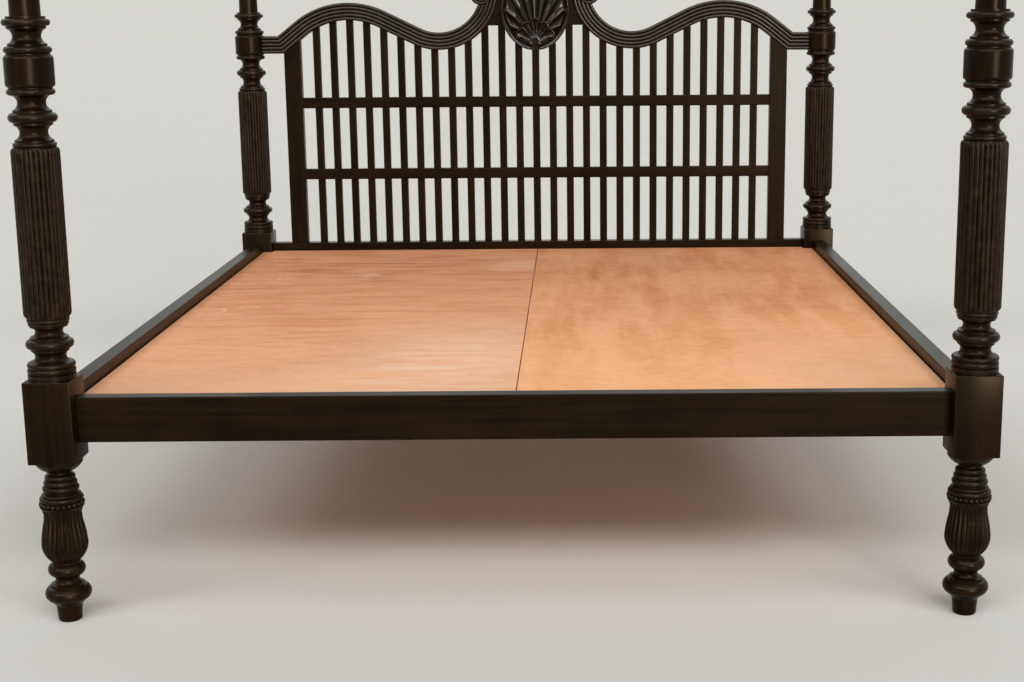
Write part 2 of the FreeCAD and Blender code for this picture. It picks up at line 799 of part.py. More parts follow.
def cross_tenons(name, room):
    """The tenons of a cross rail, as one bar through it, or their mortises in the stiles."""
    reach = f"({STILE_INNER} + cross_tenon_long + {room})"
    return box(f"cross_rail_{name}_tenon_{room}", (f"-{reach}", reach),
               middle(POST_Y, f"(tenon_thick + 2 * {room})"),
               middle(f"{RAIL_TOP_Z} + {CROSS_RISES[name]}", f"(cross_tenon_high + 2 * {room})"))


def make_stiles(crests):
    for side, across in LEFT_RIGHT.items():
        name = f"stile_{side}"
        bar = doc.addObject("Part::Box", name + "_bar")
        bar.setExpression("Length", linked("stile_wide"))
        bar.setExpression("Width", linked("stile_thick"))
        bar.Height = crest_height(value(STILE_X)) - value(RAIL_TOP_Z)
        bar.setExpression("Placement.Base.x", linked(f"{across} * {STILE_X} - stile_wide / 2"))
        bar.setExpression("Placement.Base.y", linked(f"{POST_Y} - stile_thick / 2"))
        bar.setExpression("Placement.Base.z", linked(RAIL_TOP_Z))
        whole = fuse(name + "_whole", [bar, stile_tenon(side, "0")])
        mortises = [cross_tenons(rail, "fit") for rail in CROSS_RISES]
        keep(cut(name, whole, mortises + [solid(name + "_crest", crests[side])]))


def make_cross_rails():
    for name, rise in CROSS_RISES.items():
        thick = middle(POST_Y, "cross_rail_thick")
        height = middle(f"{RAIL_TOP_Z} + {rise}", "cross_rail_high")
        bar = box(f"cross_rail_{name}_bar", (f"-{STILE_INNER}", STILE_INNER), thick, height)
        whole = fuse(f"cross_rail_{name}_whole", [bar, cross_tenons(name, "0")])
        keep(cut(f"cross_rail_{name}", whole, [slat_room]))


def crest_tenon(label, across, room):
    """The tenon at a crest's end, or its mortise in the post's drum."""
    near = f"({POST_X} - bead_radius - fit - crest_tenon_long)"
    far = f"({POST_X} - bead_radius + crest_tenon_long + {room})"
    ends = (near, far) if across > 0 else (f"-{far}", f"-{near}")
    return box(label, ends, middle(POST_Y, f"(tenon_thick + 2 * {room})"),
               middle(CREST_Z, f"(crest_tenon_high + 2 * {room})"))


def crest_shapes():
    """Both halves of the crest, before their tenons and mortises."""
    right = crest_half()
    right.translate(Vector(0, value(POST_Y), 0))
    return {"left": right.mirror(Vector(0, 0, 0), Vector(1, 0, 0)), "right": right}


def make_crests(crests):
    for side, across in LEFT_RIGHT.items():
        plank = solid(f"crest_{side}_plank", crests[side])
        whole = fuse(f"crest_{side}_whole", [plank, crest_tenon(f"crest_{side}_tenon", across, "0")])
        keep(cut(f"crest_{side}", whole, [slat_room]))


def make_board(crests):
    """The board between the volutes, which carries the shell."""
    reach = value(f"{SCROLL_X} + crest_wide / 2")
    foot = value(f"{CREST_Z} + board_rise")
    plank = span_box((-reach, reach), about(value(POST_Y), value("board_thick / 2")),
                     (foot, foot + value("board_high")))
    for crest in crests.values():
        plank = largest(plank.cut(crest))
    keep(cut("crest_board", solid("crest_board_plank", plank), [slat_room]))


def oval(wide, high, back, front):
    """An upright oval plate about the shell's middle, between two depths."""
    centre = Vector(0, back, value(f"{CREST_Z} + shell_rise"))
    if high > wide:
        edge = Part.Ellipse(centre + Vector(0, 0, high / 2), centre + Vector(wide / 2, 0, 0), centre)
    else:
        edge = Part.Ellipse(centre + Vector(wide / 2, 0, 0), centre + Vector(0, 0, high / 2), centre)
    return Part.Face(Part.Wire(edge.toShape())).extrude(Vector(0, front - back, 0))


def make_shell():
    """An oval rim round a dished field, in front of the board."""
    back = value(f"{POST_Y} - board_thick / 2")
    front = back - value("shell_thick")
    wide = value("shell_wide")
    high = value("shell_high")
    rim = 2 * value("shell_rim")
    whole = oval(wide, high, back, front)
    dish = oval(wide - rim, high - rim, front + value("shell_dish"), front)
    keep(solid("shell_carving", whole.cut(dish)))


def make_hardware():
    keep(solid("hook_plates", at_joints(HOOK_PLATE)))
    keep(solid("keeper_plates", at_joints(KEEPER_PLATE)))
    ahead, back = plate_screws(0)
    keep(solid("plate_screws", at_joints(Part.makeCompound(ahead + back))))
    strips = [ledger_screws(side, "0") for side in LEFT_RIGHT]
    keep(solid("ledger_screws", Part.makeCompound(strips)))


slat_room = solid("slat_mortises", Part.makeCompound(slat_blocks(value("fit"))))
CRESTS = crest_shapes()
make_posts()
make_rails()
make_ledgers()
make_bearers()
make_deck()
make_stiles(CRESTS)
make_cross_rails()
make_slats()
make_crests(CRESTS)
make_board(CRESTS)
make_shell()
make_hardware()
doc.recompute()

for thing in doc.Objects:
    if "Invalid" in thing.State or "Error" in thing.State:
        raise RuntimeError(f"{thing.Label} failed: {thing.State}")
os.makedirs("parts", exist_ok=True)
for thing in subparts:
    if thing.Shape.isNull() or not thing.Shape.isValid() or not thing.Shape.Solids:
        raise RuntimeError(f"{thing.Label} has no sound shape")
for thing in subparts:
    thing.Shape.exportStep(f"parts/{thing.Label}.step")
    print(thing.Label, len(thing.Shape.Solids), round(thing.Shape.Volume))
print(len(subparts), "sub-parts")
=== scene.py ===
"""A carved four-poster bed in near-black wood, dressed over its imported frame.

Lengths are in metres, apart from the moulding tables, which are in millimetres. +X is to the right
seen from the foot, +Y runs from the foot to the headboard and +Z is up.
"""
import math

import bmesh
import bpy
from bpy.props import FloatProperty, FloatVectorProperty, IntProperty, PointerProperty
from bpy.types import Operator, Panel, PropertyGroup
from mathutils import Matrix, Vector


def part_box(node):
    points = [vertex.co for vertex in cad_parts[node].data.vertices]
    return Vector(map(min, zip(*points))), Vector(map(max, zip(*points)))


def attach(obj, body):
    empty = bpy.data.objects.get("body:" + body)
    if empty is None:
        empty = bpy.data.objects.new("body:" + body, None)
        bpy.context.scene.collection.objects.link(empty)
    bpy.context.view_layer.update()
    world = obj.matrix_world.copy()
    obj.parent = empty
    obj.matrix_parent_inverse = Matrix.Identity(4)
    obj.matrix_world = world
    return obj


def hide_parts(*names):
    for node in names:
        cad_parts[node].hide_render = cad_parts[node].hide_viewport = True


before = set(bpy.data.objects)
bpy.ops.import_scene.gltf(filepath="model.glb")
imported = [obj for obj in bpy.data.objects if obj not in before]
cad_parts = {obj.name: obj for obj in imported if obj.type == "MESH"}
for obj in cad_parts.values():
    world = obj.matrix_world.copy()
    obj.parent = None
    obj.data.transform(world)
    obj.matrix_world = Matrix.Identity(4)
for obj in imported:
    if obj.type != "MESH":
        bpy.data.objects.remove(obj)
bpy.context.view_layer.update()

bl_info = {
    "name": "Carved Four-Poster Bed",
    "version": (1, 0, 0),
    "blender": (4, 5, 0),
    "location": "3D View > Sidebar > Carved Bed",
    "description": "Turned and reeded posts, a slatted headboard with a carved shell, and a loose deck",
    "category": "Add Mesh",
}

MM = 0.001
POSTS = ("front_left", "front_right", "back_left", "back_right")
SIDES = {"left": -1, "right": 1}
SLATS = sorted(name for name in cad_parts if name.startswith("slat_"))


# Mouldings of a post: a name, a height, then the low, middle and top radius, or two radii of a straight one

def bead(name, high, radius):
    """A half-round ring."""
    return name, high, radius - high / 2, radius, radius - high / 2


FILLET = ("fillet", 4.5, 38, 38)
GROOVE = ("groove", 2, 42.5, 42.5)
COVE = ("cove", 29.5, 38, 27.5, 38)
SMALL_BEAD = bead("small bead", 9.5, 42.6)
WIDE_BEAD = bead("wide bead", 20, 47.9)
CAP_BEAD = bead("cap bead", 14.5, 46.6)

LEG = (
    ("toe", 3, 22.5, 24.3),
    ("foot", 31, 24.3, 27),
    ("bun taper", 14, 27, 33.2, 42),
    ("bun", 28, 42, 47.5, 37),
    ("ankle fillet", 4.5, 34.5, 34.5),
    ("ankle", 18.5, 34.5, 24.5, 28.5),
    ("knop", 27.5, 28.5, 38.4, 28.5),
    ("knop fillet", 4.5, 28.5, 28.5),
    ("swell", 37, 28.5, 43, 47.5),
    ("vase", 44, 47.5, 45.3, 40.9),
    ("neck", 24, 40.9, 39.2, 38.6),
    ("flare", 15, 38.6, 41.4, 45.2),
    ("pearl seat", 12, 39.5, 39.5),
    ("collar", 10, 42.4, 44.6, 41),
    bead("collar bead", 6, 39.8),
    ("collar groove", 4.5, 33.5, 33.5),
    ("low hoop", 11.8, 34, 37.4, 34),
    ("middle hoop", 11.8, 30.9, 34.3, 30.9),
    ("high hoop", 11.8, 27.8, 31.2, 27.8),
    ("wrist", 6.6, 28.1, 23.3, 22.8),
    ("dome", 20, 22.8, 41, 48.3),
    ("dome edge", 4.5, 48.3, 48.3),
)
COLUMN = (
    ("plinth", 11, 48.3, 48.3),
    GROOVE,
    ("ring", 10, 46.6, 48.3, 46.6),
    GROOVE,
    ("lip", 10.5, 46.6, 48.2, 43.6),
    ("base cove", 23, 43.6, 31, 38),
    FILLET,
    WIDE_BEAD,
    FILLET,
    ("low cove", 21.5, 38, 27.5, 38),
    FILLET,
    ("step", 4.5, 40.5, 40.5),
    SMALL_BEAD,
    GROOVE,
    ("reeds", 341, 47.4, 47.4),
    GROOVE,
    SMALL_BEAD,
    FILLET,
    COVE,
    FILLET,
    WIDE_BEAD,
    FILLET,
    COVE,
    bead("thin bead", 13, 47),
    GROOVE,
)
DRUM_RADIUS = 47.9
DRUM = (
    ("drum foot", 7, 42.5, 46.7, DRUM_RADIUS),
    ("drum", 50, DRUM_RADIUS, DRUM_RADIUS),
    ("drum head", 7, DRUM_RADIUS, 46.7, 42.5),
)
UPPER_POST = (
    GROOVE,
    CAP_BEAD,
    FILLET,
    COVE,
    FILLET,
    CAP_BEAD,
    FILLET,
    ("shaft", 760, 30, 20),
)
FINIAL = (
    bead("finial bead", 13, 27),
    ("stem", 18, 20, 13, 17),
    ("urn", 26, 17, 28, 34),
    ("urn top", 40, 34, 28, 14),
    bead("tip bead", 10, 17),
    ("tip", 30, 14, 9.5, 4),
)
# depth of a row's carving against its radius: reeds where it is above zero, flutes where it is below
CARVED_SHARES = {"reeds": 0.080, "swell": -0.075, "vase": -0.075, "neck": -0.075, "flare": -0.060}


# Sizes and finishes that a user would change

def length(name, description, default):
    """A size in metres."""
    return FloatProperty(name=name, description=description, default=default, unit="LENGTH", precision=4)


def quantity(name, description, default, least):
    """A number of like parts."""
    return IntProperty(name=name, description=description, default=default, min=least)


def slant(name, description, default):
    """An angle in radians."""
    return FloatProperty(name=name, description=description, default=default, subtype="ANGLE")


def colour(name, description, default):
    """A finish's colour."""
    return FloatVectorProperty(name=name, description=description, default=default, subtype="COLOR",
                               size=3, min=0, max=1)


class BedPostSizes(PropertyGroup):
    """The carving of the posts."""

    reed_count: quantity("Reeds", "Reeds round a column, and flutes round a leg", 28, 8)
    reed_tip: length("Reed tip", "Length over which a reed's end is rounded", 0.0090)
    reed_wobble: length("Reed wobble", "How far a hand-cut reed strays sideways", 0.00035)
    pearl_count: quantity("Pearls", "Pearls round a leg", 24, 8)
    pearl_radius: length("Pearl radius", "Radius of a pearl on a leg", 0.0050)
    pearl_reach: length("Pearl reach", "Distance of a pearl from the leg's axis", 0.0416)
    pearl_height: length("Pearl height", "Height of the pearls above the floor", 0.2570)
    block_bottom: length("Block bottom", "Height of a post's square block above the floor", 0.350)
    block_high: length("Block height", "Height of a post's square block", 0.173)
    block_side: length("Block side", "Width of a post's square block", 0.097)
    block_ease: length("Block easing", "Radius of the block's edges", 0.0022)


class BedBoardSizes(PropertyGroup):
    """The flat boards of the frame."""

    rail_ease: length("Rail easing", "Radius of a rail's edges", 0.0028)
    slat_ease: length("Slat easing", "Radius of a slat's edges", 0.0024)
    stile_ease: length("Stile easing", "Radius of a stile's or a cross rail's edges", 0.0026)
    tenon: length("Tenon", "Length of a cross rail's end that is hidden in a stile", 0.012)
    deck_ease: length("Deck easing", "Radius of a deck panel's edges", 0.0009)
    support_ease: length("Support easing", "Radius of a ledger's or a bearer's edges", 0.002)
    deck_gap: length("Deck gap", "Room between a deck panel and a post's block", 0.003)
    bearer_count: quantity("Bearers", "Bars across the bed under the deck", 5, 2)
    bearer_wide: length("Bearer width", "Width of a bar under the deck", 0.040)
    bearer_lap: length("Bearer lap", "Height of a bar's end where it lies on a ledger", 0.020)
    bearer_shoulder: length("Bearer shoulder", "Length of a bar's lapped end", 0.030)


class BedCrestSizes(PropertyGroup):
    """The headboard's crest and shell."""

    crest_wide: length("Crest width", "Width of the crest's band", 0.057)
    crest_thick: length("Crest thickness", "Depth of the crest from front to back", 0.040)
    crest_end: length("Crest end", "Level run of the crest beside a post", 0.0565)
    crest_reeds: quantity("Crest reeds", "Reeds along the crest", 5, 3)
    reed_depth: length("Crest reed depth", "Depth of the crest's reeds", 0.0052)
    hump_rise: length("Hump rise", "Height of the hump above the crest's end", 0.1065)
    dip_rise: length("Dip rise", "Height of the dip above the crest's end", 0.008)
    scroll_gap: length("Scroll gap", "Room between the shell and the crest", 0.010)
    volute_radius: length("Volute radius", "Radius of the scroll that ends the crest", 0.047)
    volute_reeds: quantity("Volute reeds", "Reeds that run on round the volute", 3, 1)
    volute_lift: length("Volute lift", "How far the scroll's end stands in front of the crest", 0.005)
    shell_lobes: quantity("Shell lobes", "Lobes of the large shell", 11, 5)


class BedFinishes(PropertyGroup):
    """The colours of the bed."""

    ebony: colour("Ebonised wood", "Stained wood in its pores and hollows", (0.0030, 0.0016, 0.0007))
    ebony_warm: colour("Warm ebonised wood", "Stained wood between its pores", (0.0080, 0.0040, 0.0017))
    # lighter brown on round edges and ridges: partly rubbed wear, partly painted highlight
    ebony_rubbed_highlit: colour("Rubbed wood", "Stained wood where an edge is rubbed", (0.042, 0.027, 0.016))
    deck_left: colour("Left deck", "Veneer of the left deck panel", (0.805, 0.378, 0.187))
    deck_right: colour("Right deck", "Veneer of the right deck panel", (0.92, 0.435, 0.192))
    # this darker colour is also the painted shade that darkens the deck towards the headboard
    deck_grain_and_painted_shade: colour("Deck grain", "Darker streaks of the deck's veneer", (0.36, 0.104, 0.028))
    deck_dust: colour("Deck scuffs", "Dust and scuffs on the deck", (0.85, 0.58, 0.41))
    support: colour("Supports", "Ledgers and bearers", (0.135, 0.085, 0.052))
    support_shade: colour("Support grain", "Late wood of the ledgers and bearers", (0.070, 0.042, 0.026))
    zinc: colour("Zinc", "Hook plates and screws", (0.58, 0.59, 0.58))


class BedStageSettings(PropertyGroup):
    """The camera, the floor and the backdrop."""

    camera_place: FloatVectorProperty(name="Camera", description="Where the camera stands",
                                      default=(0.13223, -4.30537, 1.26027), subtype="TRANSLATION")
    camera_yaw: slant("Yaw", "Camera's turn to the right", -0.00079)
    camera_pitch: slant("Pitch", "Camera's tilt downwards", 0.20543)
    camera_roll: slant("Roll", "Camera's lean", -0.00767)
    lens: FloatProperty(name="Lens", description="Focal length in millimetres", default=56.37)
    shift: FloatProperty(name="Shift", description="Sideways shift of the picture", default=-0.0629)
    floor: colour("Floor", "Colour of the floor", (0.64, 0.60, 0.55))
    backdrop: colour("Backdrop", "Colour behind the bed", (0.678, 0.664, 0.621))


# Steps and angles

def even_shares(steps):
    """Shares from 0 to 1 in even steps."""
    return [step / steps for step in range(steps + 1)]


def round_angles(spots):
    """Angles spaced evenly round a circle."""
    return [math.tau * spot / spots for spot in range(spots)]


def flat_point(angle):
    """A unit step in a plane, at an angle from its first axis."""
    return Vector((math.cos(angle), math.sin(angle)))


def fan_point(angle):
    """A unit step in a plane, at an angle from its second axis."""
    return Vector((math.sin(angle), math.cos(angle)))


def bearing(start, end):
    """The angle of the way from one point of a plane to another, from its first axis."""
    return math.atan2(end.y - start.y, end.x - start.x)


def smooth(share):
    """A share from 0 to 1, eased at both ends."""
    share = min(1, max(0, share))
    return share * share * (3 - 2 * share)


# Meshes

EASE_STEPS = 3
CREASE = math.radians(38)
# a corner of a face larger than this isn't rubbed
PLAIN_AREA = 0.0015
# how soon a point is fully rubbed as its edges bend
RUB_GAIN = 3


class Shape:
    """Points and faces gathered for one mesh."""

    def __init__(self):
        self.points = []
        self.faces = []

    def skin(self, rows):
        """Join rows of points, each closed on itself, and cap both ends."""
        start = len(self.points)
        wide = len(rows[0])
        last = start + (len(rows) - 1) * wide
        for row in rows:
            self.points.extend(row)
        for first in range(start, last, wide):
            for step in range(wide):
                here, beside = first + step, first + (step + 1) % wide
                self.faces.append((here, beside, beside + wide, here + wide))
        self.faces.append(tuple(range(start, start + wide)))
        self.faces.append(tuple(range(last, last + wide)))

    def ball(self, centre, radius, sides, rings):
        """A small sphere, a little flat at its poles."""
        rows = []
        for ring in range(rings):
            tilt = math.pi * ((ring + 0.5) / rings - 0.5)
            rows.append([centre + radius * Vector((*math.cos(tilt) * flat_point(angle), math.sin(tilt)))
                         for angle in round_angles(sides)])
        self.skin(rows)

    def take(self, form, ease):
        """Add a bmesh with its edges eased, and free it."""
        if ease:
            bmesh.ops.bevel(form, geom=form.edges[:], offset=ease, offset_type="OFFSET", segments=EASE_STEPS,
                            profile=0.5, affect="EDGES", clamp_overlap=True)
        start = len(self.points)
        form.verts.index_update()
        self.points.extend(point.co.copy() for point in form.verts)
        self.faces.extend(tuple(start + point.index for point in face.verts) for face in form.faces)
        form.free()

    def block(self, low, high, ease):
        """A rectangular block with eased edges."""
        form = bmesh.new()
        bmesh.ops.create_cube(form, size=1)
        size = high - low
        middle = (high + low) / 2
        for point in form.verts:
            point.co = middle + point.co * size
        self.take(form, ease)

    def prism(self, corners, push, ease):
        """A flat outline pushed out into a solid with eased edges."""
        form = bmesh.new()
        near = [form.verts.new(corner) for corner in corners]
        far = [form.verts.new(corner + push) for corner in corners]
        form.faces.new(near)
        form.faces.new(far)
        for step in range(len(corners)):
            form.faces.new((near[step - 1], near[step], far[step], far[step - 1]))
        bmesh.ops.recalc_face_normals(form, faces=form.faces)
        self.take(form, ease)

    def mesh(self, name):
        """The finished mesh, smooth but for its creases, with how far each point is rubbed."""
        mesh = bpy.data.meshes.new(name)
        mesh.from_pydata(self.points, [], self.faces)
        form = bmesh.new()
        form.from_mesh(mesh)
        bmesh.ops.recalc_face_normals(form, faces=form.faces)
        rub = form.verts.layers.float.new("rub")
        for point in form.verts:
            bends = [edge.calc_face_angle_signed(0) for edge in point.link_edges]
            if max(face.calc_area() for face in point.link_faces) < PLAIN_AREA:
                point[rub] = min(1, max(0, RUB_GAIN * sum(bends) / len(bends)))
        form.to_mesh(mesh)
        form.free()
        mesh.shade_smooth()
        mesh.set_sharp_from_angle(angle=CREASE)
        return mesh


def add_piece(shape, name, material, node, body="frame", flat=False):
    """Put a shape in the scene in place of a CAD node."""
    thing = bpy.data.objects.new(name, shape.mesh(name))
    bpy.context.scene.collection.objects.link(thing)
    thing.data.materials.append(material)
    if flat:
        even = thing.modifiers.new("Even flat faces", "WEIGHTED_NORMAL")
        even.keep_sharp = True
    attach(thing, body)
    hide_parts(node)


# Materials

# sockets of a Mix node for colours: its mask, its two colours and its result
MIX_MASK, MIX_FIRST, MIX_SECOND, MIX_RESULT = 0, 6, 7, 2


class Wire:
    """A socket in a tree of nodes, with which sums can be written."""

    def __init__(self, nodes, socket):
        self.nodes = nodes
        self.socket = socket

    def combine(self, operation, first, second):
        """A Math node on two values."""
        return self.nodes.node("ShaderNodeMath", {"operation": operation}, (first, second))

    def __add__(self, other):
        return self.combine("ADD", self, other)

    def __sub__(self, other):
        return self.combine("SUBTRACT", self, other)

    def __rsub__(self, other):
        return self.combine("SUBTRACT", other, self)

    def __mul__(self, other):
        return self.combine("MULTIPLY", self, other)

    def __abs__(self):
        return self.combine("ABSOLUTE", self, 0)

    __radd__ = __add__
    __rmul__ = __mul__


class Nodes:
    """A tree of shader nodes, with one way to add any node."""

    def __init__(self, tree):
        self.tree = tree

    def node(self, kind, settings=None, inputs=(), output=0):
        """Add a node, with its settings first and then the values or links of its sockets."""
        made = self.tree.nodes.new(kind)
        for key, setting in (settings or {}).items():
            setattr(made, key, setting)
        for key, given in inputs.items() if isinstance(inputs, dict) else enumerate(inputs):
            self.feed(made.inputs[key], given)
        return Wire(self, made.outputs[output])

    def feed(self, socket, given):
        """Link a wire to a socket, or set the socket's value."""
        if isinstance(given, Wire):
            self.tree.links.new(given.socket, socket)
        else:
            socket.default_value = given


class Finish(Nodes):
    """A material being made."""

    def __init__(self, name):
        self.material = bpy.data.materials.new(name)
        self.material.use_nodes = True
        super().__init__(self.material.node_tree)
        self.colours = bpy.context.scene.carved_bed_finishes
        self.place = self.node("ShaderNodeTexCoord", output="Object")

    def stretched(self, scale):
        """The place on the piece, squeezed along each axis."""
        inputs = {"Vector": self.place, "Scale": scale}
        return self.node("ShaderNodeMapping", {"vector_type": "POINT"}, inputs)

    def noise(self, place, scale, detail=3, rough=0.6):
        """A cloudy value about one half."""
        return self.node("ShaderNodeTexNoise", {"noise_dimensions": "3D"},
                         {"Vector": place, "Scale": scale, "Detail": detail, "Roughness": rough})

    def between(self, given, low, high):
        """A value's share of the way from low to high."""
        return self.node("ShaderNodeMapRange", {"interpolation_type": "SMOOTHSTEP"},
                         {"Value": given, "From Min": low, "From Max": high})

    def mix(self, mask, first, second):
        """One colour over another."""
        first, second = (given if isinstance(given, Wire) else (*given, 1) for given in (first, second))
        inputs = {MIX_MASK: mask, MIX_FIRST: first, MIX_SECOND: second}
        return self.node("ShaderNodeMix", {"data_type": "RGBA"}, inputs, MIX_RESULT)

    def bump(self, height, distance, strength):
        """A surface raised by a height."""
        return self.node("ShaderNodeBump", {}, {"Height": height, "Distance": distance, "Strength": strength})

    def rub(self):
        """How far the mesh is rubbed."""
        return self.node("ShaderNodeAttribute", {"attribute_name": "rub"}, (), "Fac")

    def finish(self, **sockets):
        """Feed the shader's sockets, each named with _ for a space, and give the material."""
        shader = self.tree.nodes["Principled BSDF"]
        for key, given in sockets.items():
            self.feed(shader.inputs[key.replace("_", " ")], given)
        return self.material


def once(maker):
    """Make a material the first time it is asked for, and hand the same one out after that."""
    made = {}

    def ask(*arguments):
        if arguments not in made:
            made[arguments] = maker(*arguments)
        return made[arguments]
    return ask


# squeezes of the grain along each way that it can run
GRAINS = {"across": (0.035, 1, 1), "along": (1, 0.035, 1), "upright": (1, 1, 0.035)}
# ebonised wood: wax on the carving, more of it on round edges, then how strongly pores show, and how strongly
# rubbed edges show, whose lighter brown is partly wear and partly a painted highlight on round ridges
CARVING_WAX = 0.45
BURNISH = 0.08
PORE_STRENGTH = 0.55
RUB_AND_HIGHLIGHT_STRENGTH = 0.35


@once
def ebonised_wood(grain, wax):
    """Satin stained wood, near black, with open pores along the grain and lighter brown on rubbed edges,
    partly wear and partly a painted highlight on round ridges.

    Wax is the share of a full coat on the flat; round edges are burnished and shine more.
    """
    make = Finish(("waxed_wood_" if wax else "ebonised_wood_") + grain)
    colours = make.colours
    stretched = make.stretched(GRAINS[grain])
    pores = make.noise(stretched, scale=620)
    figure = make.noise(stretched, scale=70, detail=4, rough=0.55)
    cloud = make.noise(make.place, scale=9)
    patches = make.noise(make.place, scale=55)
    rub = make.rub()
    rubbed = rub * make.between(patches, 0.35, 0.75)
    streaks = make.between(figure * 0.65 + cloud * 0.35, 0.36, 0.66)
    body = make.mix(streaks, colours.ebony, colours.ebony_warm)
    body = make.mix(make.between(pores, 0.52, 0.70) * PORE_STRENGTH, body, colours.ebony)
    # lighter brown on round ridges and edges: partly rubbed wear, partly painted highlight
    body = make.mix(rubbed * RUB_AND_HIGHLIGHT_STRENGTH, body, colours.ebony_rubbed_highlit)
    height = pores * 0.5 + figure * 0.9 + patches * 0.5
    return make.finish(
        Base_Color=body,
        Roughness=0.24 + cloud * 0.08 + figure * 0.06 + rubbed * 0.05,
        Normal=make.bump(height, distance=0.00020, strength=0.45),
        Specular_IOR_Level=0.095,
        Specular_Tint=(1, 0.73, 0.50, 1),
        Coat_Weight=wax + rub * BURNISH,
        Coat_Roughness=0.24,
    )


# Marks on the deck, at places across and along the bed: pale rubbed rings with a radius, a width and a
# strength, then dusty and darker patches with a radius and a strength
SCUFF_RINGS = (
    ((-0.866, -0.026), 0.040, 0.009, 0.55),
    ((-0.769, 0.027), 0.022, 0.007, 0.45),
    ((-0.473, -0.765), 0.050, 0.012, 0.22),
    ((-0.758, 0.497), 0.014, 0.009, 0.40),
)
DUST_PATCHES = (
    ((-0.20, -0.85), 0.50, 0.42),
    ((-0.12, -0.45), 0.45, 0.32),
    ((-0.75, -0.95), 0.40, 0.20),
    ((-0.05, 0.72), 0.16, 0.26),
    ((-0.507, 0.543), 0.05, 0.30),
    ((0.78, -0.80), 0.45, 0.24),
)
DARK_PATCHES = (
    ((0.32, 0.50), 0.55, 0.11),
    ((0.55, 0.10), 0.50, 0.10),
    ((0.10, -0.35), 0.45, 0.16),
    ((-0.60, 0.60), 0.55, 0.15),
    ((-0.50, -0.45), 0.45, 0.14),
)
# how far the edges of a dusty patch and of a ring stray
PATCH_STRAY = 0.20
RING_STRAY = 0.03
# the deck's grain and figure, the run along the bed over which painted shade darkens it towards the
# headboard, and how far it does
DECK_GRAINS = {"left": (0.15, 1, 1), "right": (1, 0.15, 1)}
DECK_FIGURES = {"left": 30, "right": 12}
DECK_RUN = 0.95
DECK_PAINTED_SHADE = {"left": 0.52, "right": 0.57}
FIBRE_GRAIN = (0.07, 1, 1)
BLOTCH_GRAIN = (0.6, 0.8, 1)


def deck_veneer(side):
    """Bare veneer with painted shade that darkens it towards the headboard, and with figure, blotches, dust
    and scuffs.

    The left panel's figure runs across the bed and the right panel's along it.
    """
    make = Finish("deck_veneer_" + side)
    colours = make.colours
    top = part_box("deck_panel_" + side)[1].z
    figure = make.noise(make.stretched(DECK_GRAINS[side]), DECK_FIGURES[side], detail=4, rough=0.55)
    fibres = make.noise(make.stretched(FIBRE_GRAIN), scale=190, detail=4, rough=0.65)
    blotches = make.noise(make.stretched(BLOTCH_GRAIN), scale=5.0, detail=5, rough=0.65)
    mottle = make.noise(make.place, scale=42, detail=4, rough=0.6)
    wander = make.noise(make.place, scale=16) - 0.5
    along = make.node("ShaderNodeSeparateXYZ", {}, (make.place,), "Y")

    def distance(spot):
        """How far a place on the deck is from a spot."""
        ends = (make.place, (*spot, top))
        return make.node("ShaderNodeVectorMath", {"operation": "DISTANCE"}, ends, "Value")

    streaks = make.between(figure, 0.34, 0.74)
    # painted shade darker towards the headboard, plus the darker streaks, blotches, mottle and fibres of the
    # veneer
    shade = make.between(along, -DECK_RUN, DECK_RUN) * DECK_PAINTED_SHADE[side] + streaks * 0.10
    shade = shade + make.between(blotches, 0.40, 0.70) * 0.14
    shade = shade + make.between(mottle, 0.42, 0.70) * 0.09
    shade = shade + make.between(fibres, 0.40, 0.70) * 0.15
    for spot, reach, strength in DARK_PATCHES:
        shade = shade + make.between(distance(spot), reach, 0) * streaks * strength
    dust = make.between(figure, 0.66, 0.42) * 0.10
    dusty = 0.30 + make.between(figure, 0.38, 0.62) * 1.10
    for spot, reach, strength in DUST_PATCHES:
        if spot[0] * SIDES[side] > 0:
            patch = make.between(distance(spot) + wander * PATCH_STRAY, reach, 0)
            dust = dust + patch * dusty * strength
    broken = make.between(mottle, 0.38, 0.60)
    for spot, radius, width, strength in SCUFF_RINGS:
        ring = make.between(abs(distance(spot) + wander * RING_STRAY - radius), width, 0)
        dust = dust + ring * broken * strength
    body = make.mix(shade, getattr(colours, "deck_" + side), colours.deck_grain_and_painted_shade)
    body = make.mix(make.node("ShaderNodeClamp", {}, (dust,)), body, colours.deck_dust)
    body = make.mix(make.rub() * 0.5, body, colours.deck_grain_and_painted_shade)
    height = fibres * 0.6 + figure * 0.5 + mottle * 0.3
    return make.finish(
        Base_Color=body,
        Roughness=0.54 + mottle * 0.12 + figure * 0.10,
        Normal=make.bump(height, distance=0.00018, strength=0.5),
        Specular_IOR_Level=0.15,
    )


@once
def support_wood(grain):
    """Plain softwood, with bands of late wood."""
    make = Finish("support_wood_" + grain)
    colours = make.colours
    stretched = make.stretched(GRAINS[grain])
    bands = make.noise(stretched, scale=110, detail=3, rough=0.55)
    fibres = make.noise(stretched, scale=700, detail=2, rough=0.6)
    soil = make.noise(make.place, scale=6)
    body = make.mix(make.between(bands, 0.40, 0.68), colours.support, colours.support_shade)
    body = make.mix(make.between(soil, 0.5, 0.8) * 0.4, body, colours.support_shade)
    body = make.mix(make.rub() * 0.25, body, colours.support_shade)
    return make.finish(
        Base_Color=body,
        Roughness=0.62 + fibres * 0.15,
        Normal=make.bump(bands * 0.6 + fibres * 0.4, distance=0.0003, strength=0.6),
    )


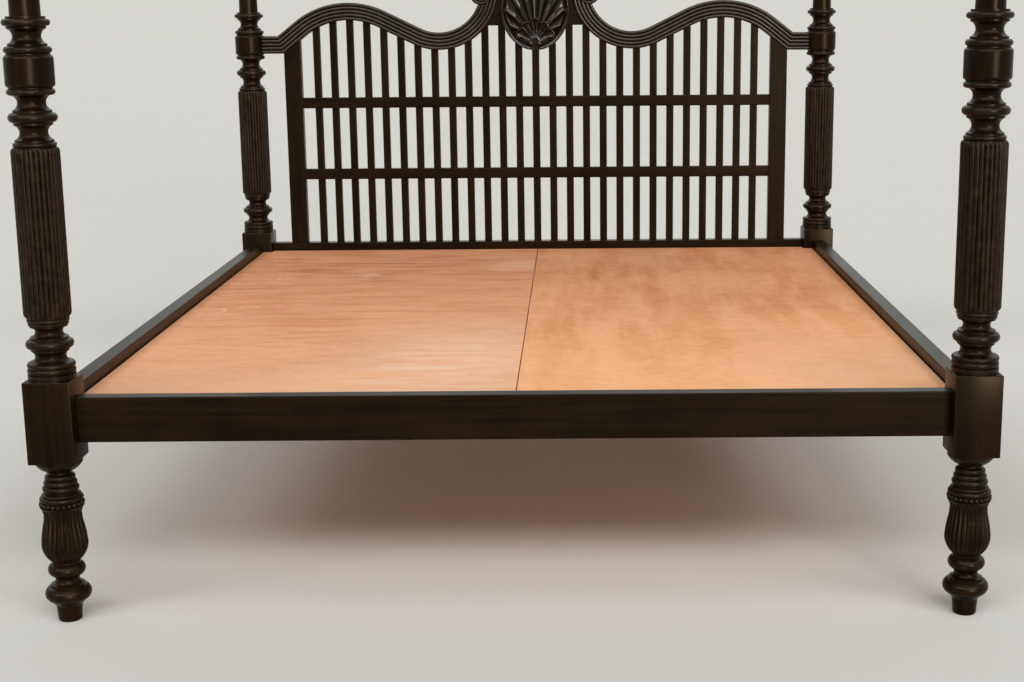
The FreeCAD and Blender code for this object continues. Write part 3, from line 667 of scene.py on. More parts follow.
@once
def zinc_plate():
    """Dull plated steel."""
    make = Finish("zinc_plate")
    spangle = make.noise(make.place, scale=240, detail=2, rough=0.5)
    dull = make.noise(make.place, scale=60)
    bright = make.colours.zinc
    return make.finish(
        Base_Color=make.mix(make.between(dull, 0.4, 0.7) * 0.5, bright, [0.7 * part for part in bright]),
        Roughness=0.30 + spangle * 0.12 + dull * 0.15,
        Normal=make.bump(spangle, distance=0.00005, strength=0.4),
        Metallic=1.0,
    )


# Posts

REED_STEPS = 6
REED_PHASES = [math.pi * (step / REED_STEPS - 0.5) for step in range(REED_STEPS)]
# steps along a reed's tip and the rest of it, then the fewest along a curved moulding and their length
TIP_STEPS = 5
REED_RUN_STEPS = 14
LEAST_ARC_STEPS = 6
ARC_STEP = 2.5
# how fast a reed strays up a post, and how unlike its neighbours
STRAY_PITCH = 23
STRAY_SHIFT = 2.4


def arc(low, middle, top, steps):
    """Points along the circle through three points."""
    near, far = middle - low, top - low
    twist = 2 * (near.x * far.y - near.y * far.x)
    centre = low + Vector((far.y * near.length_squared - near.y * far.length_squared,
                           near.x * far.length_squared - far.x * near.length_squared)) / twist
    begin, end = bearing(centre, low), bearing(centre, top)
    sweep = (end - begin) % math.tau if twist > 0 else -((begin - end) % math.tau)
    radius = (low - centre).length
    return [centre + radius * flat_point(begin + sweep * share) for share in even_shares(steps)]


def outline(rows, foot):
    """The radius and height of each ring up a stack of mouldings, in metres, and how deep it is carved."""
    rings = []
    height = foot / MM
    for name, high, *radii in rows:
        carving = CARVED_SHARES.get(name, 0)
        low = Vector((radii[0], height))
        top = Vector((radii[-1], height + high))
        if len(radii) > 2:
            middle = Vector((radii[1], height + high / 2))
            points = arc(low, middle, top, max(LEAST_ARC_STEPS, round(high / ARC_STEP)))
        elif carving:
            tip = bpy.context.scene.carved_bed_posts.reed_tip / MM / high
            ends = [tip * share for share in even_shares(TIP_STEPS)]
            run = [tip + (1 - 2 * tip) * share for share in even_shares(REED_RUN_STEPS)[1:-1]]
            points = [low.lerp(top, share) for share in (*ends, *run, *(1 - end for end in reversed(ends)))]
        else:
            points = [low, top]
        rings += [(point.x * MM, point.y * MM, carving) for point in points]
        height += high
    return rings


def turn(shape, rows, foot, axis):
    """Add a stack of mouldings turned about an upright axis, with its reeds and flutes."""
    sizes = bpy.context.scene.carved_bed_posts
    rings = outline(rows, foot)
    carved = [height for _, height, carving in rings if carving]
    skin = []
    for radius, height, carving in rings:
        tip = 0
        wobble = 0
        if carving:
            end = min(height - carved[0], carved[-1] - height)
            tip = max(0, 1 - end / sizes.reed_tip)
            wobble = sizes.reed_wobble / radius
        ring = []
        for reed in range(sizes.reed_count):
            stray = wobble * math.sin(height * STRAY_PITCH + reed * STRAY_SHIFT)
            for phase in REED_PHASES:
                swell = math.sqrt(max(0, math.cos(phase) ** 2 - tip ** 2))
                if carving > 0:
                    reach = radius * (1 - carving * (1 - swell))
                else:
                    reach = radius * (1 + carving * max(0, 2 * swell - 1))
                angle = (reed + (1 + math.sin(phase)) / 2) * math.tau / sizes.reed_count + stray
                ring.append(Vector((*axis.xy + reach * flat_point(angle), height)))
        skin.append(ring)
    shape.skin(skin)


def post_axis(post):
    """The middle of a post, on the floor."""
    low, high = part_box("finial_" + post)
    return Vector(((low.x + high.x) / 2, (low.y + high.y) / 2, 0))


def add_ebonised(shape, craft, node, grain, wax=0, flat=False):
    """Put a piece of ebonised wood in place of a CAD node."""
    add_piece(shape, f"{craft}_{node}", ebonised_wood(grain, wax), node, flat=flat)


def add_turned(kind, rows, below, post):
    """Turn the piece of a post that stands on the one below it."""
    shape = Shape()
    turn(shape, rows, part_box(f"{below}_{post}")[1].z, post_axis(post))
    add_ebonised(shape, "turned", f"{kind}_{post}", "upright")


class CARVEDBED_OT_lower_posts(Operator):
    """Turn the legs and columns, with their reeds and pearls, and add the square blocks."""

    bl_idname = "carved_bed.lower_posts"
    bl_label = "Lower Posts"

    def execute(self, context):
        sizes = context.scene.carved_bed_posts
        half = sizes.block_side / 2
        block_top = sizes.block_bottom + sizes.block_high
        for post in POSTS:
            axis = post_axis(post)
            shape = Shape()
            turn(shape, LEG, 0, axis)
            for pearl in range(sizes.pearl_count):
                reach = sizes.pearl_reach * flat_point((pearl + 0.5) * math.tau / sizes.pearl_count)
                shape.ball(axis + Vector((*reach, sizes.pearl_height)), sizes.pearl_radius, sides=12, rings=7)
            shape.block(axis + Vector((-half, -half, sizes.block_bottom)),
                        axis + Vector((half, half, block_top)), sizes.block_ease)
            turn(shape, COLUMN + DRUM, block_top, axis)
            add_ebonised(shape, "turned", "lower_post_" + post, "upright")
        return {"FINISHED"}


class CARVEDBED_OT_upper_posts(Operator):
    """Turn the slim shafts above the columns."""

    bl_idname = "carved_bed.upper_posts"
    bl_label = "Upper Posts"

    def execute(self, context):
        for post in POSTS:
            add_turned("upper_post", UPPER_POST, "lower_post", post)
        return {"FINISHED"}


class CARVEDBED_OT_finials(Operator):
    """Turn the urns on the tops of the posts."""

    bl_idname = "carved_bed.finials"
    bl_label = "Finials"

    def execute(self, context):
        for post in POSTS:
            add_turned("finial", FINIAL, "upper_post", post)
        return {"FINISHED"}


# Rails and deck

def add_planed(node, grain, ease, tenon=0):
    """Plane an ebonised board as large as its node, but for hidden tenons at its ends."""
    low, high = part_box(node)
    hidden = Vector((tenon, 0, 0))
    shape = Shape()
    shape.block(low + hidden, high - hidden, ease)
    add_ebonised(shape, "planed", node, grain, flat=True)


class CARVEDBED_OT_rails(Operator):
    """Plane the four rails."""

    bl_idname = "carved_bed.rails"
    bl_label = "Rails"

    def execute(self, context):
        ease = context.scene.carved_bed_boards.rail_ease
        for node in ("side_rail_left", "side_rail_right"):
            add_planed(node, "along", ease)
        for node in ("foot_rail", "head_rail"):
            add_planed(node, "across", ease)
        return {"FINISHED"}


class CARVEDBED_OT_deck(Operator):
    """Cut the two loose panels round the posts."""

    bl_idname = "carved_bed.deck"
    bl_label = "Deck"

    def execute(self, context):
        sizes = context.scene.carved_bed_boards
        room = context.scene.carved_bed_posts.block_side / 2 + sizes.deck_gap
        notch = post_axis("back_right") - Vector((room, room, 0))
        for side, across in SIDES.items():
            node = "deck_panel_" + side
            low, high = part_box(node)
            inner, outer = sorted((abs(low.x), abs(high.x)))
            corners = ((inner, low.y), (notch.x, low.y), (notch.x, -notch.y), (outer, -notch.y),
                       (outer, notch.y), (notch.x, notch.y), (notch.x, high.y), (inner, high.y))
            shape = Shape()
            shape.prism([Vector((across * x, y, low.z)) for x, y in corners],
                        Vector((0, 0, high.z - low.z)), sizes.deck_ease)
            add_piece(shape, "veneered_" + node, deck_veneer(side), node, "deck_" + side, True)
        return {"FINISHED"}


class CARVEDBED_OT_supports(Operator):
    """Saw the ledgers and the lapped bars that carry the deck."""

    bl_idname = "carved_bed.supports"
    bl_label = "Supports"

    def execute(self, context):
        sizes = context.scene.carved_bed_boards
        for side in SIDES:
            node = "ledger_" + side
            shape = Shape()
            shape.block(*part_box(node), sizes.support_ease)
            add_piece(shape, "sawn_" + node, support_wood("along"), node, flat=True)
        node = "cross_bearers"
        low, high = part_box(node)
        lap = high.z - sizes.bearer_lap
        shoulder = high.x - sizes.bearer_shoulder
        corners = ((-shoulder, low.z), (shoulder, low.z), (shoulder, lap), (high.x, lap), (high.x, high.z),
                   (low.x, high.z), (low.x, lap), (-shoulder, lap))
        shape = Shape()
        for share in even_shares(sizes.bearer_count - 1):
            start = low.y + (high.y - low.y - sizes.bearer_wide) * share
            shape.prism([Vector((x, start, z)) for x, z in corners], Vector((0, sizes.bearer_wide, 0)),
                        sizes.support_ease)
        add_piece(shape, "sawn_" + node, support_wood("across"), node, flat=True)
        return {"FINISHED"}


class CARVEDBED_OT_fittings(Operator):
    """Plate the hooks, keepers and screws."""

    bl_idname = "carved_bed.fittings"
    bl_label = "Fittings"

    def execute(self, context):
        for name in ("hook_plates", "keeper_plates", "plate_screws", "ledger_screws"):
            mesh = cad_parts[name].data
            mesh.materials.clear()
            mesh.materials.append(zinc_plate())
        return {"FINISHED"}


# Headboard

class CARVEDBED_OT_headboard_frame(Operator):
    """Plane the stiles and the cross rails between them."""

    bl_idname = "carved_bed.headboard_frame"
    bl_label = "Headboard Frame"

    def execute(self, context):
        sizes = context.scene.carved_bed_boards
        kink, rise = (point for point, _ in crest_line(context.scene.carved_bed_crest)[1:3])
        slope = (rise.y - kink.y) / (kink.x - rise.x)
        for side in SIDES:
            node = "stile_" + side
            low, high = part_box(node)
            low.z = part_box("head_rail")[1].z
            outer, inner = (low.x, high.x) if side == "left" else (high.x, low.x)
            outer_top = high.z - slope * (high.x - low.x)
            corners = ((outer, low.z), (inner, low.z), (inner, high.z), (outer, outer_top))
            shape = Shape()
            shape.prism([Vector((x, low.y, z)) for x, z in corners], Vector((0, high.y - low.y, 0)),
                        sizes.stile_ease)
            add_ebonised(shape, "planed", node, "upright", flat=True)
        for node in ("cross_rail_lower", "cross_rail_upper"):
            add_planed(node, "across", sizes.stile_ease, sizes.tenon)
        return {"FINISHED"}


class CARVEDBED_OT_slats(Operator):
    """Plane the slats of the headboard."""

    bl_idname = "carved_bed.slats"
    bl_label = "Slats"

    def execute(self, context):
        for node in SLATS:
            add_planed(node, "upright", context.scene.carved_bed_boards.slat_ease)
        return {"FINISHED"}


# the crest: where its hump is, how round hump and dip are, its turn up to the scroll and its end in the drum
HUMP_PLACE_SHARE = 0.677
HUMP_ROUND_SHARE = 0.885
DIP_ROUND_SHARE = 0.361
SCROLL_ANGLE = math.radians(86)
CREST_END_SHARE = 0.85
CREST_STEPS = 40
# the scroll: how far it goes round, the stretch over which it tucks in and how far, and its set back
SCROLL_SWEEP = math.radians(395)
SCROLL_STEPS = 80
TUCK_START = math.radians(225)
TUCK_SWEEP = math.radians(170)
TUCK_SHARE = 0.97
TUCK_FLATTER_SHARE = 0.6
SCROLL_SET_BACK = 0.0005
# the dome in its eye, as shares of the eye's radius and how far each stands in front, and the ground behind
EYE_DOME = ((1, -0.002), (0.93, 0.0005), (0.75, 0.0022), (0.45, 0.0036), (0.15, 0.0041))
GROUND_INSET = 0.0015
GROUND_EASE = 0.001
SCROLL_SPOTS = 48


def crest_line(sizes):
    """The right half of the crest's middle line: points across and up, each with its step to the upper edge.

    It runs level from the post to a kink, climbs to a hump, falls to a dip and turns up to the scroll.
    """
    post = post_axis("back_right")
    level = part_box("lower_post_back_right")[1].z - sum(row[1] for row in DRUM) * MM / 2
    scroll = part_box("shell_carving")[1].x + sizes.scroll_gap + sizes.crest_wide / 2
    kink = Vector((post.x - DRUM_RADIUS * MM - sizes.crest_end, level))
    hump_run = HUMP_PLACE_SHARE * (kink.x - scroll)
    rise_run = kink.x - scroll - hump_run
    hump_radius = HUMP_ROUND_SHARE * (rise_run ** 2 + sizes.hump_rise ** 2) / (2 * sizes.hump_rise)
    dip_radius = DIP_ROUND_SHARE * hump_run
    hump = Vector((scroll + hump_run, level + sizes.hump_rise - hump_radius))
    dip = Vector((scroll + dip_radius, level + sizes.dip_rise + dip_radius))
    climb = bearing(hump, kink) + math.acos(hump_radius / (hump - kink).length)
    fall = bearing(hump, dip) - math.acos((hump_radius + dip_radius) / (hump - dip).length)
    lean = (climb - math.pi / 2) / 2
    mitre = flat_point(math.pi / 2 + lean) / math.cos(lean)
    end = Vector((post.x - CREST_END_SHARE * DRUM_RADIUS * MM, level))
    line = [(end, flat_point(math.pi / 2)), (kink, mitre)]
    for share in even_shares(CREST_STEPS):
        way = flat_point(climb + (fall - climb) * share)
        line.append((hump + hump_radius * way, way))
    for share in even_shares(CREST_STEPS):
        way = flat_point(fall - math.pi + (math.pi / 2 - SCROLL_ANGLE - fall) * share)
        line.append((dip + dip_radius * way, -way))
    return line


def reeded_loop(first, last, count, face, depth, back):
    """Points round a reeded band's section: its reeds from one edge to the other, then its plain back."""
    points = []
    pitch = (last - first) / count
    for reed in range(count):
        for phase in REED_PHASES:
            across = first + (reed + (1 + math.sin(phase)) / 2) * pitch
            points.append((across, face + depth * (1 - math.cos(phase))))
    return points + [(last, face + depth), (last, back), (first, back)]


class CARVEDBED_OT_crest(Operator):
    """Carve the two halves of the crest, with reeds that run on into a volute."""

    bl_idname = "carved_bed.crest"
    bl_label = "Crest"

    def execute(self, context):
        sizes = context.scene.carved_bed_crest
        line = crest_line(sizes)
        self.middle = post_axis("back_right").y
        for side, across in SIDES.items():
            self.across = across
            shape = Shape()
            self.band(shape, sizes, line)
            self.volute(shape, sizes, *line[-1])
            add_ebonised(shape, "carved", "crest_" + side, "across", CARVING_WAX)
        return {"FINISHED"}

    def place(self, flat, deep):
        """A point across and up the headboard, and so deep behind its middle."""
        return Vector((self.across * flat.x, self.middle + deep, flat.y))

    def band(self, shape, sizes, line):
        """The reeded band from the post to the scroll."""
        half = sizes.crest_wide / 2
        back = sizes.crest_thick / 2
        loop = reeded_loop(half, -half, sizes.crest_reeds, -back, sizes.reed_depth, back)
        shape.skin([[self.place(point + step * out, deep) for out, deep in loop] for point, step in line])

    def volute(self, shape, sizes, point, step):
        """The inner reeds go once round an eye and tuck in under the outer ones."""
        eye = sizes.volute_radius - sizes.volute_reeds * sizes.crest_wide / sizes.crest_reeds
        centre = point + step * (sizes.volute_radius - sizes.crest_wide / 2)
        start = bearing(centre, point - step)
        back = sizes.crest_thick / 2
        set_back = back - SCROLL_SET_BACK
        rows = []
        for share in even_shares(SCROLL_STEPS):
            swing = SCROLL_SWEEP * share
            tuck = smooth((swing - TUCK_START) / TUCK_SWEEP)
            outer = eye + (sizes.volute_radius - eye) * (1 - TUCK_SHARE * tuck)
            face = -back - sizes.volute_lift * min(1, swing / math.pi)
            depth = sizes.reed_depth * (1 - TUCK_FLATTER_SHARE * tuck)
            spoke = flat_point(start - swing)
            loop = reeded_loop(outer, eye, sizes.volute_reeds, face, depth, set_back)
            rows.append([self.place(centre + spoke * out, deep) for out, deep in loop])
        shape.skin(rows)
        front = -back - sizes.volute_lift
        dome = [(eye, set_back)] + [(eye * share, front - proud) for share, proud in EYE_DOME]
        edge = sizes.volute_radius - GROUND_INSET
        behind = set_back - SCROLL_SET_BACK
        ground = ((edge - GROUND_EASE, behind), (edge, behind - GROUND_EASE), (edge, GROUND_EASE),
                  (edge - GROUND_EASE, 0))
        for rounds in (dome, ground):
            shape.skin([[self.place(centre + radius * flat_point(angle), deep)
                         for angle in round_angles(SCROLL_SPOTS)] for radius, deep in rounds])


class CARVEDBED_OT_crest_board(Operator):
    """Plane the board between the volutes."""

    bl_idname = "carved_bed.crest_board"
    bl_label = "Crest Board"

    def execute(self, context):
        add_planed("crest_board", "across", context.scene.carved_bed_boards.slat_ease)
        return {"FINISHED"}


# The shell, with places given across and up from its middle and forward from the board. A proud share is of
# the shell's depth, and a hinge share is of half its height, down from its middle.

# its ground
GROUND_SPOTS = 96
GROUND_SHARE = 0.955
GROUND_EASED_SHARE = 0.93
GROUND_PROUD_SHARE = 0.30
GROUND_TOP_PROUD_SHARE = 0.34
# the balls at its hinge
BALL_RADIUS = 0.0100
BALL_ASIDE = 0.0140
BALL_HINGE_SHARE = 0.825
BALL_PROUD_SHARE = 0.66
# the rim, the band inside it and the broad arms low down, which end beside the hinge
RIM_SPOTS = 160
RIM_STEPS = 6
RIM_BROAD = 0.0042
RIM_GROOVE = 0.0008
RIM_PROUD_SHARE = 0.74
RIM_SIDE_SHARE = 0.82
RIM_TOP_SHARE = 0.96
RING_BACK = 0.0006
BAND_BROAD = 0.004
BAND_FALL_SHARE = 0.42
BAND_EVEN_SHARE = 0.4
ARM_BROAD = 0.0085
ARM_MORE_PROUD_SHARE = 0.20
ARM_START_SHARE = 0.05
ARM_RUN_SHARE = 0.60
ARM_END = 0.05
ARM_END_RUN = 0.16
# the lobes of the large shell, which are wider at the sides
LOBE_STEPS = 10
LOBE_ROWS = 24
LOBE_SPREAD = math.radians(87)
LOBE_EVEN_SHARE = 0.62
LOBE_HINGE_SHARE = 0.70
LOBE_START = 0.030
LOBE_MARGIN = 0.0095
LOBE_NOTCH = 0.0050
LOBE_LAP = 0.0008
LOBE_BACK = 0.002
LOBE_GOUGE = 0.0120
LOBE_GOUGE_SHARE = 0.95
LEAST_LOBE = 0.002
RIB_START_PROUD_SHARE = 0.50
RIB_RISE_SHARE = 0.34
RIB_FALL_SHARE = 0.10
# the small shell: its cusps, the reach of each lobe between them, its gouges and its lip
SMALL_CUSPS = tuple(math.radians(angle) for angle in (-80, -47, -14, 14, 47, 80))
SMALL_TOPS = (0.072, 0.075, 0.081, 0.075, 0.072)
SMALL_STEPS = 160
SMALL_ROWS = 25
SMALL_HINGE_SHARE = 0.785
SMALL_START = 0.013
SMALL_START_PROUD_SHARE = 0.2
SMALL_END_PROUD_SHARE = 0.40
SMALL_PROUD_SHARE = 0.86
SMALL_DISH_SHARE = 0.10
SMALL_GOUGE = 0.0070
SCALLOP_SHARE = 0.12
LIP_PROUD = 0.0028
LIP_START_SHARE = 0.85
LIP_RISE_SHARE = 0.06
LIP_TURN_SHARE = 0.05
LIP_FALL_SHARE = 0.6


def oval_reach(start, way, wide, high):
    """How far an oval's edge is from a point inside it, in a direction."""
    step = Vector((way.x / wide, way.y / high))
    place = Vector((start.x / wide, start.y / high))
    along = place.dot(step)
    inside = along ** 2 - step.length_squared * (place.length_squared - 1)
    return (math.sqrt(inside) - along) / step.length_squared


class CARVEDBED_OT_shell(Operator):
    """Carve the oval ring, the large gouged shell, the small shell over it and the balls at its hinge."""

    bl_idname = "carved_bed.shell"
    bl_label = "Shell"

    def execute(self, context):
        node = "shell_carving"
        low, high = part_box(node)
        self.origin = Vector(((low.x + high.x) / 2, high.y, (low.z + high.z) / 2))
        self.wide = (high.x - low.x) / 2
        self.high = (high.z - low.z) / 2
        self.deep = high.y - low.y
        shape = Shape()
        self.ground(shape)
        self.ring(shape)
        self.large_shell(shape, context.scene.carved_bed_crest.shell_lobes)
        self.small_shell(shape)
        for across in SIDES.values():
            aside = self.hinge(BALL_HINGE_SHARE) + Vector((across * BALL_ASIDE, 0))
            shape.ball(self.place(aside, BALL_PROUD_SHARE * self.deep), BALL_RADIUS, sides=20, rings=11)
        add_piece(shape, "carved_shell", ebonised_wood("upright", CARVING_WAX), node)
        return {"FINISHED"}

    def place(self, flat, forward):
        """A point across and up from the shell's middle, and so far forward."""
        return self.origin + Vector((flat.x, -forward, flat.y))

    def hinge(self, share):
        """A point below the shell's middle."""
        return Vector((0, -share * self.high))

    def ground(self, shape):
        """The plain oval behind the carving."""
        ovals = ((GROUND_EASED_SHARE, 0), (GROUND_SHARE, GROUND_EASE),
                 (GROUND_SHARE, GROUND_PROUD_SHARE * self.deep),
                 (GROUND_EASED_SHARE, GROUND_TOP_PROUD_SHARE * self.deep))
        size = Vector((self.wide, self.high))
        shape.skin([[self.place(share * size * fan_point(angle), forward)
                     for angle in round_angles(GROUND_SPOTS)] for share, forward in ovals])

    def low_arm(self, up):
        """How far round into the rim's lower arms a height is."""
        return smooth((ARM_START_SHARE - up / self.high) / ARM_RUN_SHARE)

    def ring(self, shape):
        """A thin rim, and a band inside it that slopes inwards and is broad in its lower arms."""
        start = RIM_BROAD + RIM_GROOVE
        rows = []
        for share in even_shares(RIM_SPOTS):
            angle = math.tau * share
            way = Vector((math.sin(angle) * self.wide, math.cos(angle) * self.high))
            inward = -Vector((math.sin(angle) / self.wide, math.cos(angle) / self.high)).normalized()
            end = smooth((abs(angle - math.pi) - ARM_END) / ARM_END_RUN)
            arm = self.low_arm(way.y) * end
            band = BAND_BROAD * end + ARM_BROAD * arm
            fall = BAND_FALL_SHARE * (BAND_EVEN_SHARE + (1 - BAND_EVEN_SHARE) * arm)
            proud = self.deep * (RIM_PROUD_SHARE + ARM_MORE_PROUD_SHARE * arm)
            loop = [(0, RING_BACK)]
            for part in even_shares(RIM_STEPS):
                swing = math.pi * part
                crown = RIM_SIDE_SHARE + (RIM_TOP_SHARE - RIM_SIDE_SHARE) * math.sin(swing)
                loop.append((RIM_BROAD * (1 - math.cos(swing)) / 2, proud * crown))
            for part in even_shares(RIM_STEPS):
                loop.append((start + band * part, proud * (RIM_TOP_SHARE - fall * part ** 1.5)))
            loop.append((start + band, RING_BACK))
            rows.append([self.place(way + inward * out, forward) for out, forward in loop])
        shape.skin(rows)

    def large_shell(self, shape, lobes):
        """Hollow lobes between sharp ribs, from the hinge to the rim, widest at the sides."""
        hinge = self.hinge(LOBE_HINGE_SHARE)
        steps = [math.sin(math.pi * (step / LOBE_STEPS - 0.5)) for step in range(LOBE_STEPS)]
        columns = [(lobe, across) for lobe in range(lobes) for across in steps]
        columns.append((lobes - 1, 1))
        uneven_share = 1 - LOBE_EVEN_SHARE
        rows = []
        for lobe, across in columns:
            share = 2 * (lobe + (1 + across) / 2) / lobes - 1
            way = fan_point(LOBE_SPREAD * share * (LOBE_EVEN_SHARE + uneven_share * abs(share)))
            reach = oval_reach(hinge, way, self.wide - LOBE_MARGIN, self.high - LOBE_MARGIN)
            rim = LOBE_MARGIN + ARM_BROAD * self.low_arm((hinge + way * reach).y)
            reach = oval_reach(hinge, way, self.wide - rim, self.high - rim) - LOBE_NOTCH * across ** 2
            half_wide = reach * LOBE_SPREAD / lobes * (LOBE_EVEN_SHARE + 2 * uneven_share * abs(share))
            loop = [self.place(hinge + way * LOBE_START, LOBE_BACK)]
            for run in even_shares(LOBE_ROWS):
                part = 1 - (1 - run) ** 1.6
                out = LOBE_START + (reach - LOBE_START) * part
                wide_here = half_wide * out / reach
                edge = min(1 - abs(across), (reach - out) / max(wide_here, LEAST_LOBE))
                hollow = math.sqrt(max(0, 1 - (1 - min(1, max(0, edge))) ** 2))
                rib = RIB_START_PROUD_SHARE + RIB_RISE_SHARE * smooth(part * 1.4) - RIB_FALL_SHARE * part ** 4
                gouge = min(LOBE_GOUGE, LOBE_GOUGE_SHARE * wide_here) * hollow
                loop.append(self.place(hinge + way * out, rib * self.deep - gouge))
            end = hinge + way * (reach + LOBE_LAP)
            loop.append(self.place(end, GROUND_PROUD_SHARE * self.deep))
            loop.append(self.place(end, LOBE_BACK))
            rows.append(loop)
        shape.skin(rows)

    def small_shell(self, shape):
        """A scalloped shell with a rolled lip, gouged between ribs that fan out from the hinge."""
        hinge = self.hinge(SMALL_HINGE_SHARE)
        last = len(SMALL_TOPS) - 1
        rows = []
        for share in even_shares(SMALL_STEPS):
            angle = SMALL_CUSPS[0] + (SMALL_CUSPS[-1] - SMALL_CUSPS[0]) * share
            lobe = max(index for index, cusp in enumerate(SMALL_CUSPS[:-1]) if angle >= cusp - 1e-6)
            across = 2 * (angle - SMALL_CUSPS[lobe]) / (SMALL_CUSPS[lobe + 1] - SMALL_CUSPS[lobe]) - 1
            reach = SMALL_TOPS[lobe] * (1 - SCALLOP_SHARE * abs(across) ** 1.6)
            gouge = 1 - across ** 2 if lobe in (0, last) else abs(math.sin(math.pi * across))
            way = fan_point(angle)
            loop = [self.place(hinge + way * SMALL_START, SMALL_START_PROUD_SHARE * self.deep)]
            for part in even_shares(SMALL_ROWS):
                turned = smooth((part - 1 + LIP_TURN_SHARE) / LIP_TURN_SHARE)
                lip = smooth((part - LIP_START_SHARE) / LIP_RISE_SHARE) * (1 - LIP_FALL_SHARE * turned)
                hollow = gouge * smooth(part * 2.2) * (1 - lip)
                dish = SMALL_PROUD_SHARE - SMALL_DISH_SHARE * math.sin(math.pi * part)
                out = SMALL_START + (reach - SMALL_START) * part
                forward = self.deep * dish - SMALL_GOUGE * hollow + LIP_PROUD * lip
                loop.append(self.place(hinge + way * out, forward))
            loop.append(self.place(hinge + way * reach, SMALL_END_PROUD_SHARE * self.deep))
            rows.append(loop)
        shape.skin(rows)


# Stage

FLOOR_REACH = 60
SENSOR_WIDTH = 36
WORLD_STRENGTH = 0.15
BACKDROP_RAYS = ("Is Camera Ray", "Is Glossy Ray", "Is Transmission Ray")
SKY_TINT = (0.94, 0.98, 1.0)
WINDOW_TINT = (1.0, 0.95, 0.90)
# lamps, each with its strength, its spread in degrees, the way it comes from and its tint
LAMPS = {
    "top_sky": (0.42, 24, (0.05, -0.30, 1), SKY_TINT),
    "window": (2.0, 15, (0.40, -1.0, 0.11), WINDOW_TINT),
    "back_sky": (0.22, 30, (0, 1.0, 0.50), SKY_TINT),
    "back_sky_left": (0.25, 30, (-0.75, 0.65, 0.70), SKY_TINT),
    "back_sky_right": (0.25, 30, (0.75, 0.65, 0.70), SKY_TINT),
}
# an arc of like lamps in front of the bed
ARC_LAMPS = 9
ARC_SWEEP = math.radians(104)
ARC_HEIGHT = math.radians(35)
ARC_STRENGTH = 0.40
ARC_SPREAD = 14
ARC_TINT = (0.90, 0.96, 1.0)


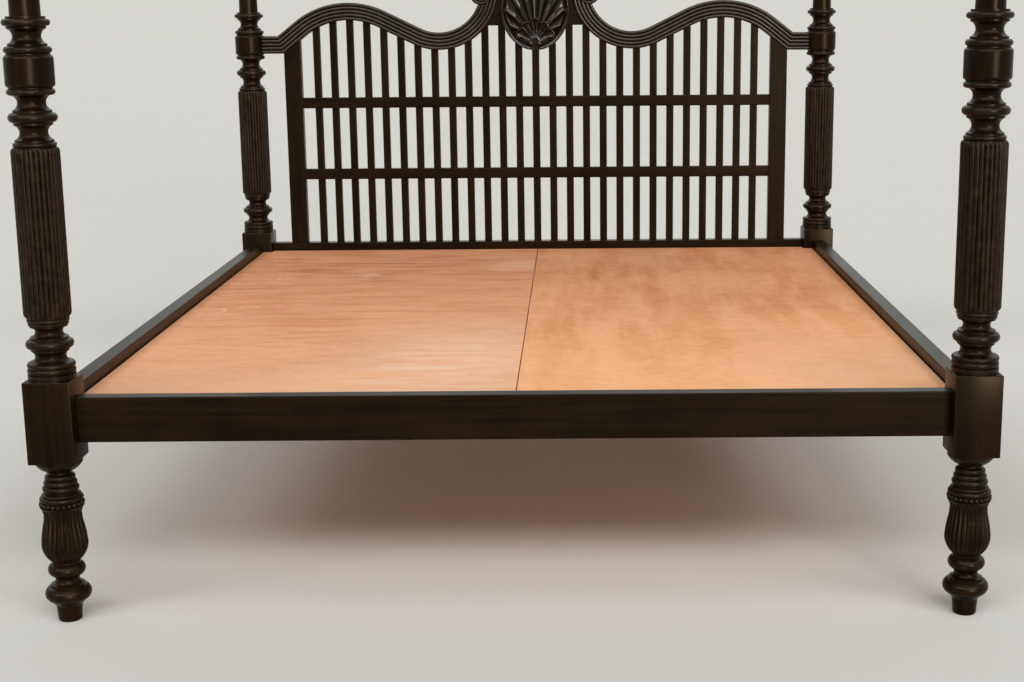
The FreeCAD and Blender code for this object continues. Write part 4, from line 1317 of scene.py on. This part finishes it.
class CARVEDBED_OT_stage(Operator):
    """Lay the floor, light the bed softly from the front, above and behind, and place the camera."""

    bl_idname = "carved_bed.stage"
    bl_label = "Stage"

    def execute(self, context):
        settings = context.scene.carved_bed_stage
        self.floor(context, settings)
        self.world(context, settings)
        for name, (strength, spread, source, tint) in LAMPS.items():
            self.lamp(context, name, strength, spread, source, tint)
        for lamp, share in enumerate(even_shares(ARC_LAMPS - 1), 1):
            flat = math.cos(ARC_HEIGHT) * fan_point(ARC_SWEEP * (share - 0.5))
            source = (flat.x, -flat.y, math.sin(ARC_HEIGHT))
            self.lamp(context, f"front_sky_{lamp}", ARC_STRENGTH, ARC_SPREAD, source, ARC_TINT)
        self.camera(context, settings)
        context.scene.view_settings.view_transform = "Standard"
        return {"FINISHED"}

    def floor(self, context, settings):
        """A wide matt floor with faint clouds."""
        reach = FLOOR_REACH
        corners = [(-reach, -reach, 0), (reach, -reach, 0), (reach, reach, 0), (-reach, reach, 0)]
        mesh = bpy.data.meshes.new("floor")
        mesh.from_pydata(corners, [], [(0, 1, 2, 3)])
        floor = bpy.data.objects.new("floor", mesh)
        context.scene.collection.objects.link(floor)
        make = Finish("pale_floor")
        cloud = make.noise(make.place, scale=1.3, detail=3, rough=0.5)
        mesh.materials.append(make.finish(
            Base_Color=make.mix(cloud * 0.25, settings.floor, [0.93 * part for part in settings.floor]),
            Roughness=0.7 + cloud * 0.1,
            Normal=make.bump(cloud, distance=0.0002, strength=0.2),
            Specular_IOR_Level=0.03,
        ))

    def world(self, context, settings):
        """Even white light, and a pale backdrop for the camera and for what the bed mirrors."""
        world = bpy.data.worlds.new("studio")
        context.scene.world = world
        world.use_nodes = True
        make = Nodes(world.node_tree)
        plain = make.tree.nodes["Background"]
        make.feed(plain.inputs["Color"], (1, 1, 1, 1))
        make.feed(plain.inputs["Strength"], WORLD_STRENGTH)
        light = Wire(make, plain.outputs[0])
        backdrop = make.node("ShaderNodeBackground", {}, {"Color": (*settings.backdrop, 1)})
        camera, glossy, through = (make.node("ShaderNodeLightPath", output=ray) for ray in BACKDROP_RAYS)
        blend = make.node("ShaderNodeMixShader", {}, (camera + glossy + through, light, backdrop))
        make.feed(make.tree.nodes["World Output"].inputs["Surface"], blend)

    def lamp(self, context, name, strength, spread, source, tint):
        """A far lamp that shines from a way."""
        data = bpy.data.lights.new(name, "SUN")
        data.energy = strength
        data.angle = math.radians(spread)
        data.color = tint
        lamp = bpy.data.objects.new(name, data)
        lamp.rotation_mode = "QUATERNION"
        lamp.rotation_quaternion = Vector(source).to_track_quat("Z", "Y")
        context.scene.collection.objects.link(lamp)

    def camera(self, context, settings):
        """The camera, level but for its yaw, pitch and roll."""
        yaw, pitch, roll = settings.camera_yaw, settings.camera_pitch, settings.camera_roll
        forward = Vector((*math.cos(pitch) * fan_point(yaw), -math.sin(pitch)))
        level = Vector((math.cos(yaw), -math.sin(yaw), 0))
        above = level.cross(forward)
        right = math.cos(roll) * level + math.sin(roll) * above
        up = math.cos(roll) * above - math.sin(roll) * level
        data = bpy.data.cameras.new("camera")
        data.sensor_width = SENSOR_WIDTH
        data.lens = settings.lens
        data.shift_x = settings.shift
        camera = bpy.data.objects.new("camera", data)
        turned = Matrix((right, up, -forward)).transposed().to_4x4()
        camera.matrix_world = Matrix.Translation(settings.camera_place) @ turned
        context.scene.collection.objects.link(camera)
        context.scene.camera = camera


# The add-on

class CARVEDBED_PT_panel(Panel):
    """The bed's sizes and finishes, and a button for each group of pieces."""

    bl_idname = "CARVEDBED_PT_panel"
    bl_label = "Carved Bed"
    bl_space_type = "VIEW_3D"
    bl_region_type = "UI"
    bl_category = "Carved Bed"

    def draw(self, context):
        for settings in SETTINGS:
            column = self.layout.column(align=True)
            group = getattr(context.scene, settings)
            for name in group.__annotations__:
                column.prop(group, name)
        for operator in OPERATORS:
            self.layout.operator(operator.bl_idname)


SETTINGS = {
    "carved_bed_posts": BedPostSizes,
    "carved_bed_boards": BedBoardSizes,
    "carved_bed_crest": BedCrestSizes,
    "carved_bed_finishes": BedFinishes,
    "carved_bed_stage": BedStageSettings,
}
OPERATORS = (
    CARVEDBED_OT_lower_posts,
    CARVEDBED_OT_upper_posts,
    CARVEDBED_OT_finials,
    CARVEDBED_OT_rails,
    CARVEDBED_OT_deck,
    CARVEDBED_OT_supports,
    CARVEDBED_OT_fittings,
    CARVEDBED_OT_headboard_frame,
    CARVEDBED_OT_slats,
    CARVEDBED_OT_crest,
    CARVEDBED_OT_crest_board,
    CARVEDBED_OT_shell,
    CARVEDBED_OT_stage,
)
CLASSES = (*SETTINGS.values(), *OPERATORS, CARVEDBED_PT_panel)


def register():
    for group in CLASSES:
        bpy.utils.register_class(group)
    for name, group in SETTINGS.items():
        setattr(bpy.types.Scene, name, PointerProperty(type=group))


def unregister():
    for name in SETTINGS:
        delattr(bpy.types.Scene, name)
    for group in reversed(CLASSES):
        bpy.utils.unregister_class(group)


def main():
    register()
    for operator in OPERATORS:
        getattr(bpy.ops.carved_bed, operator.bl_idname.split(".")[1])()


if __name__ == "__main__":
    main()
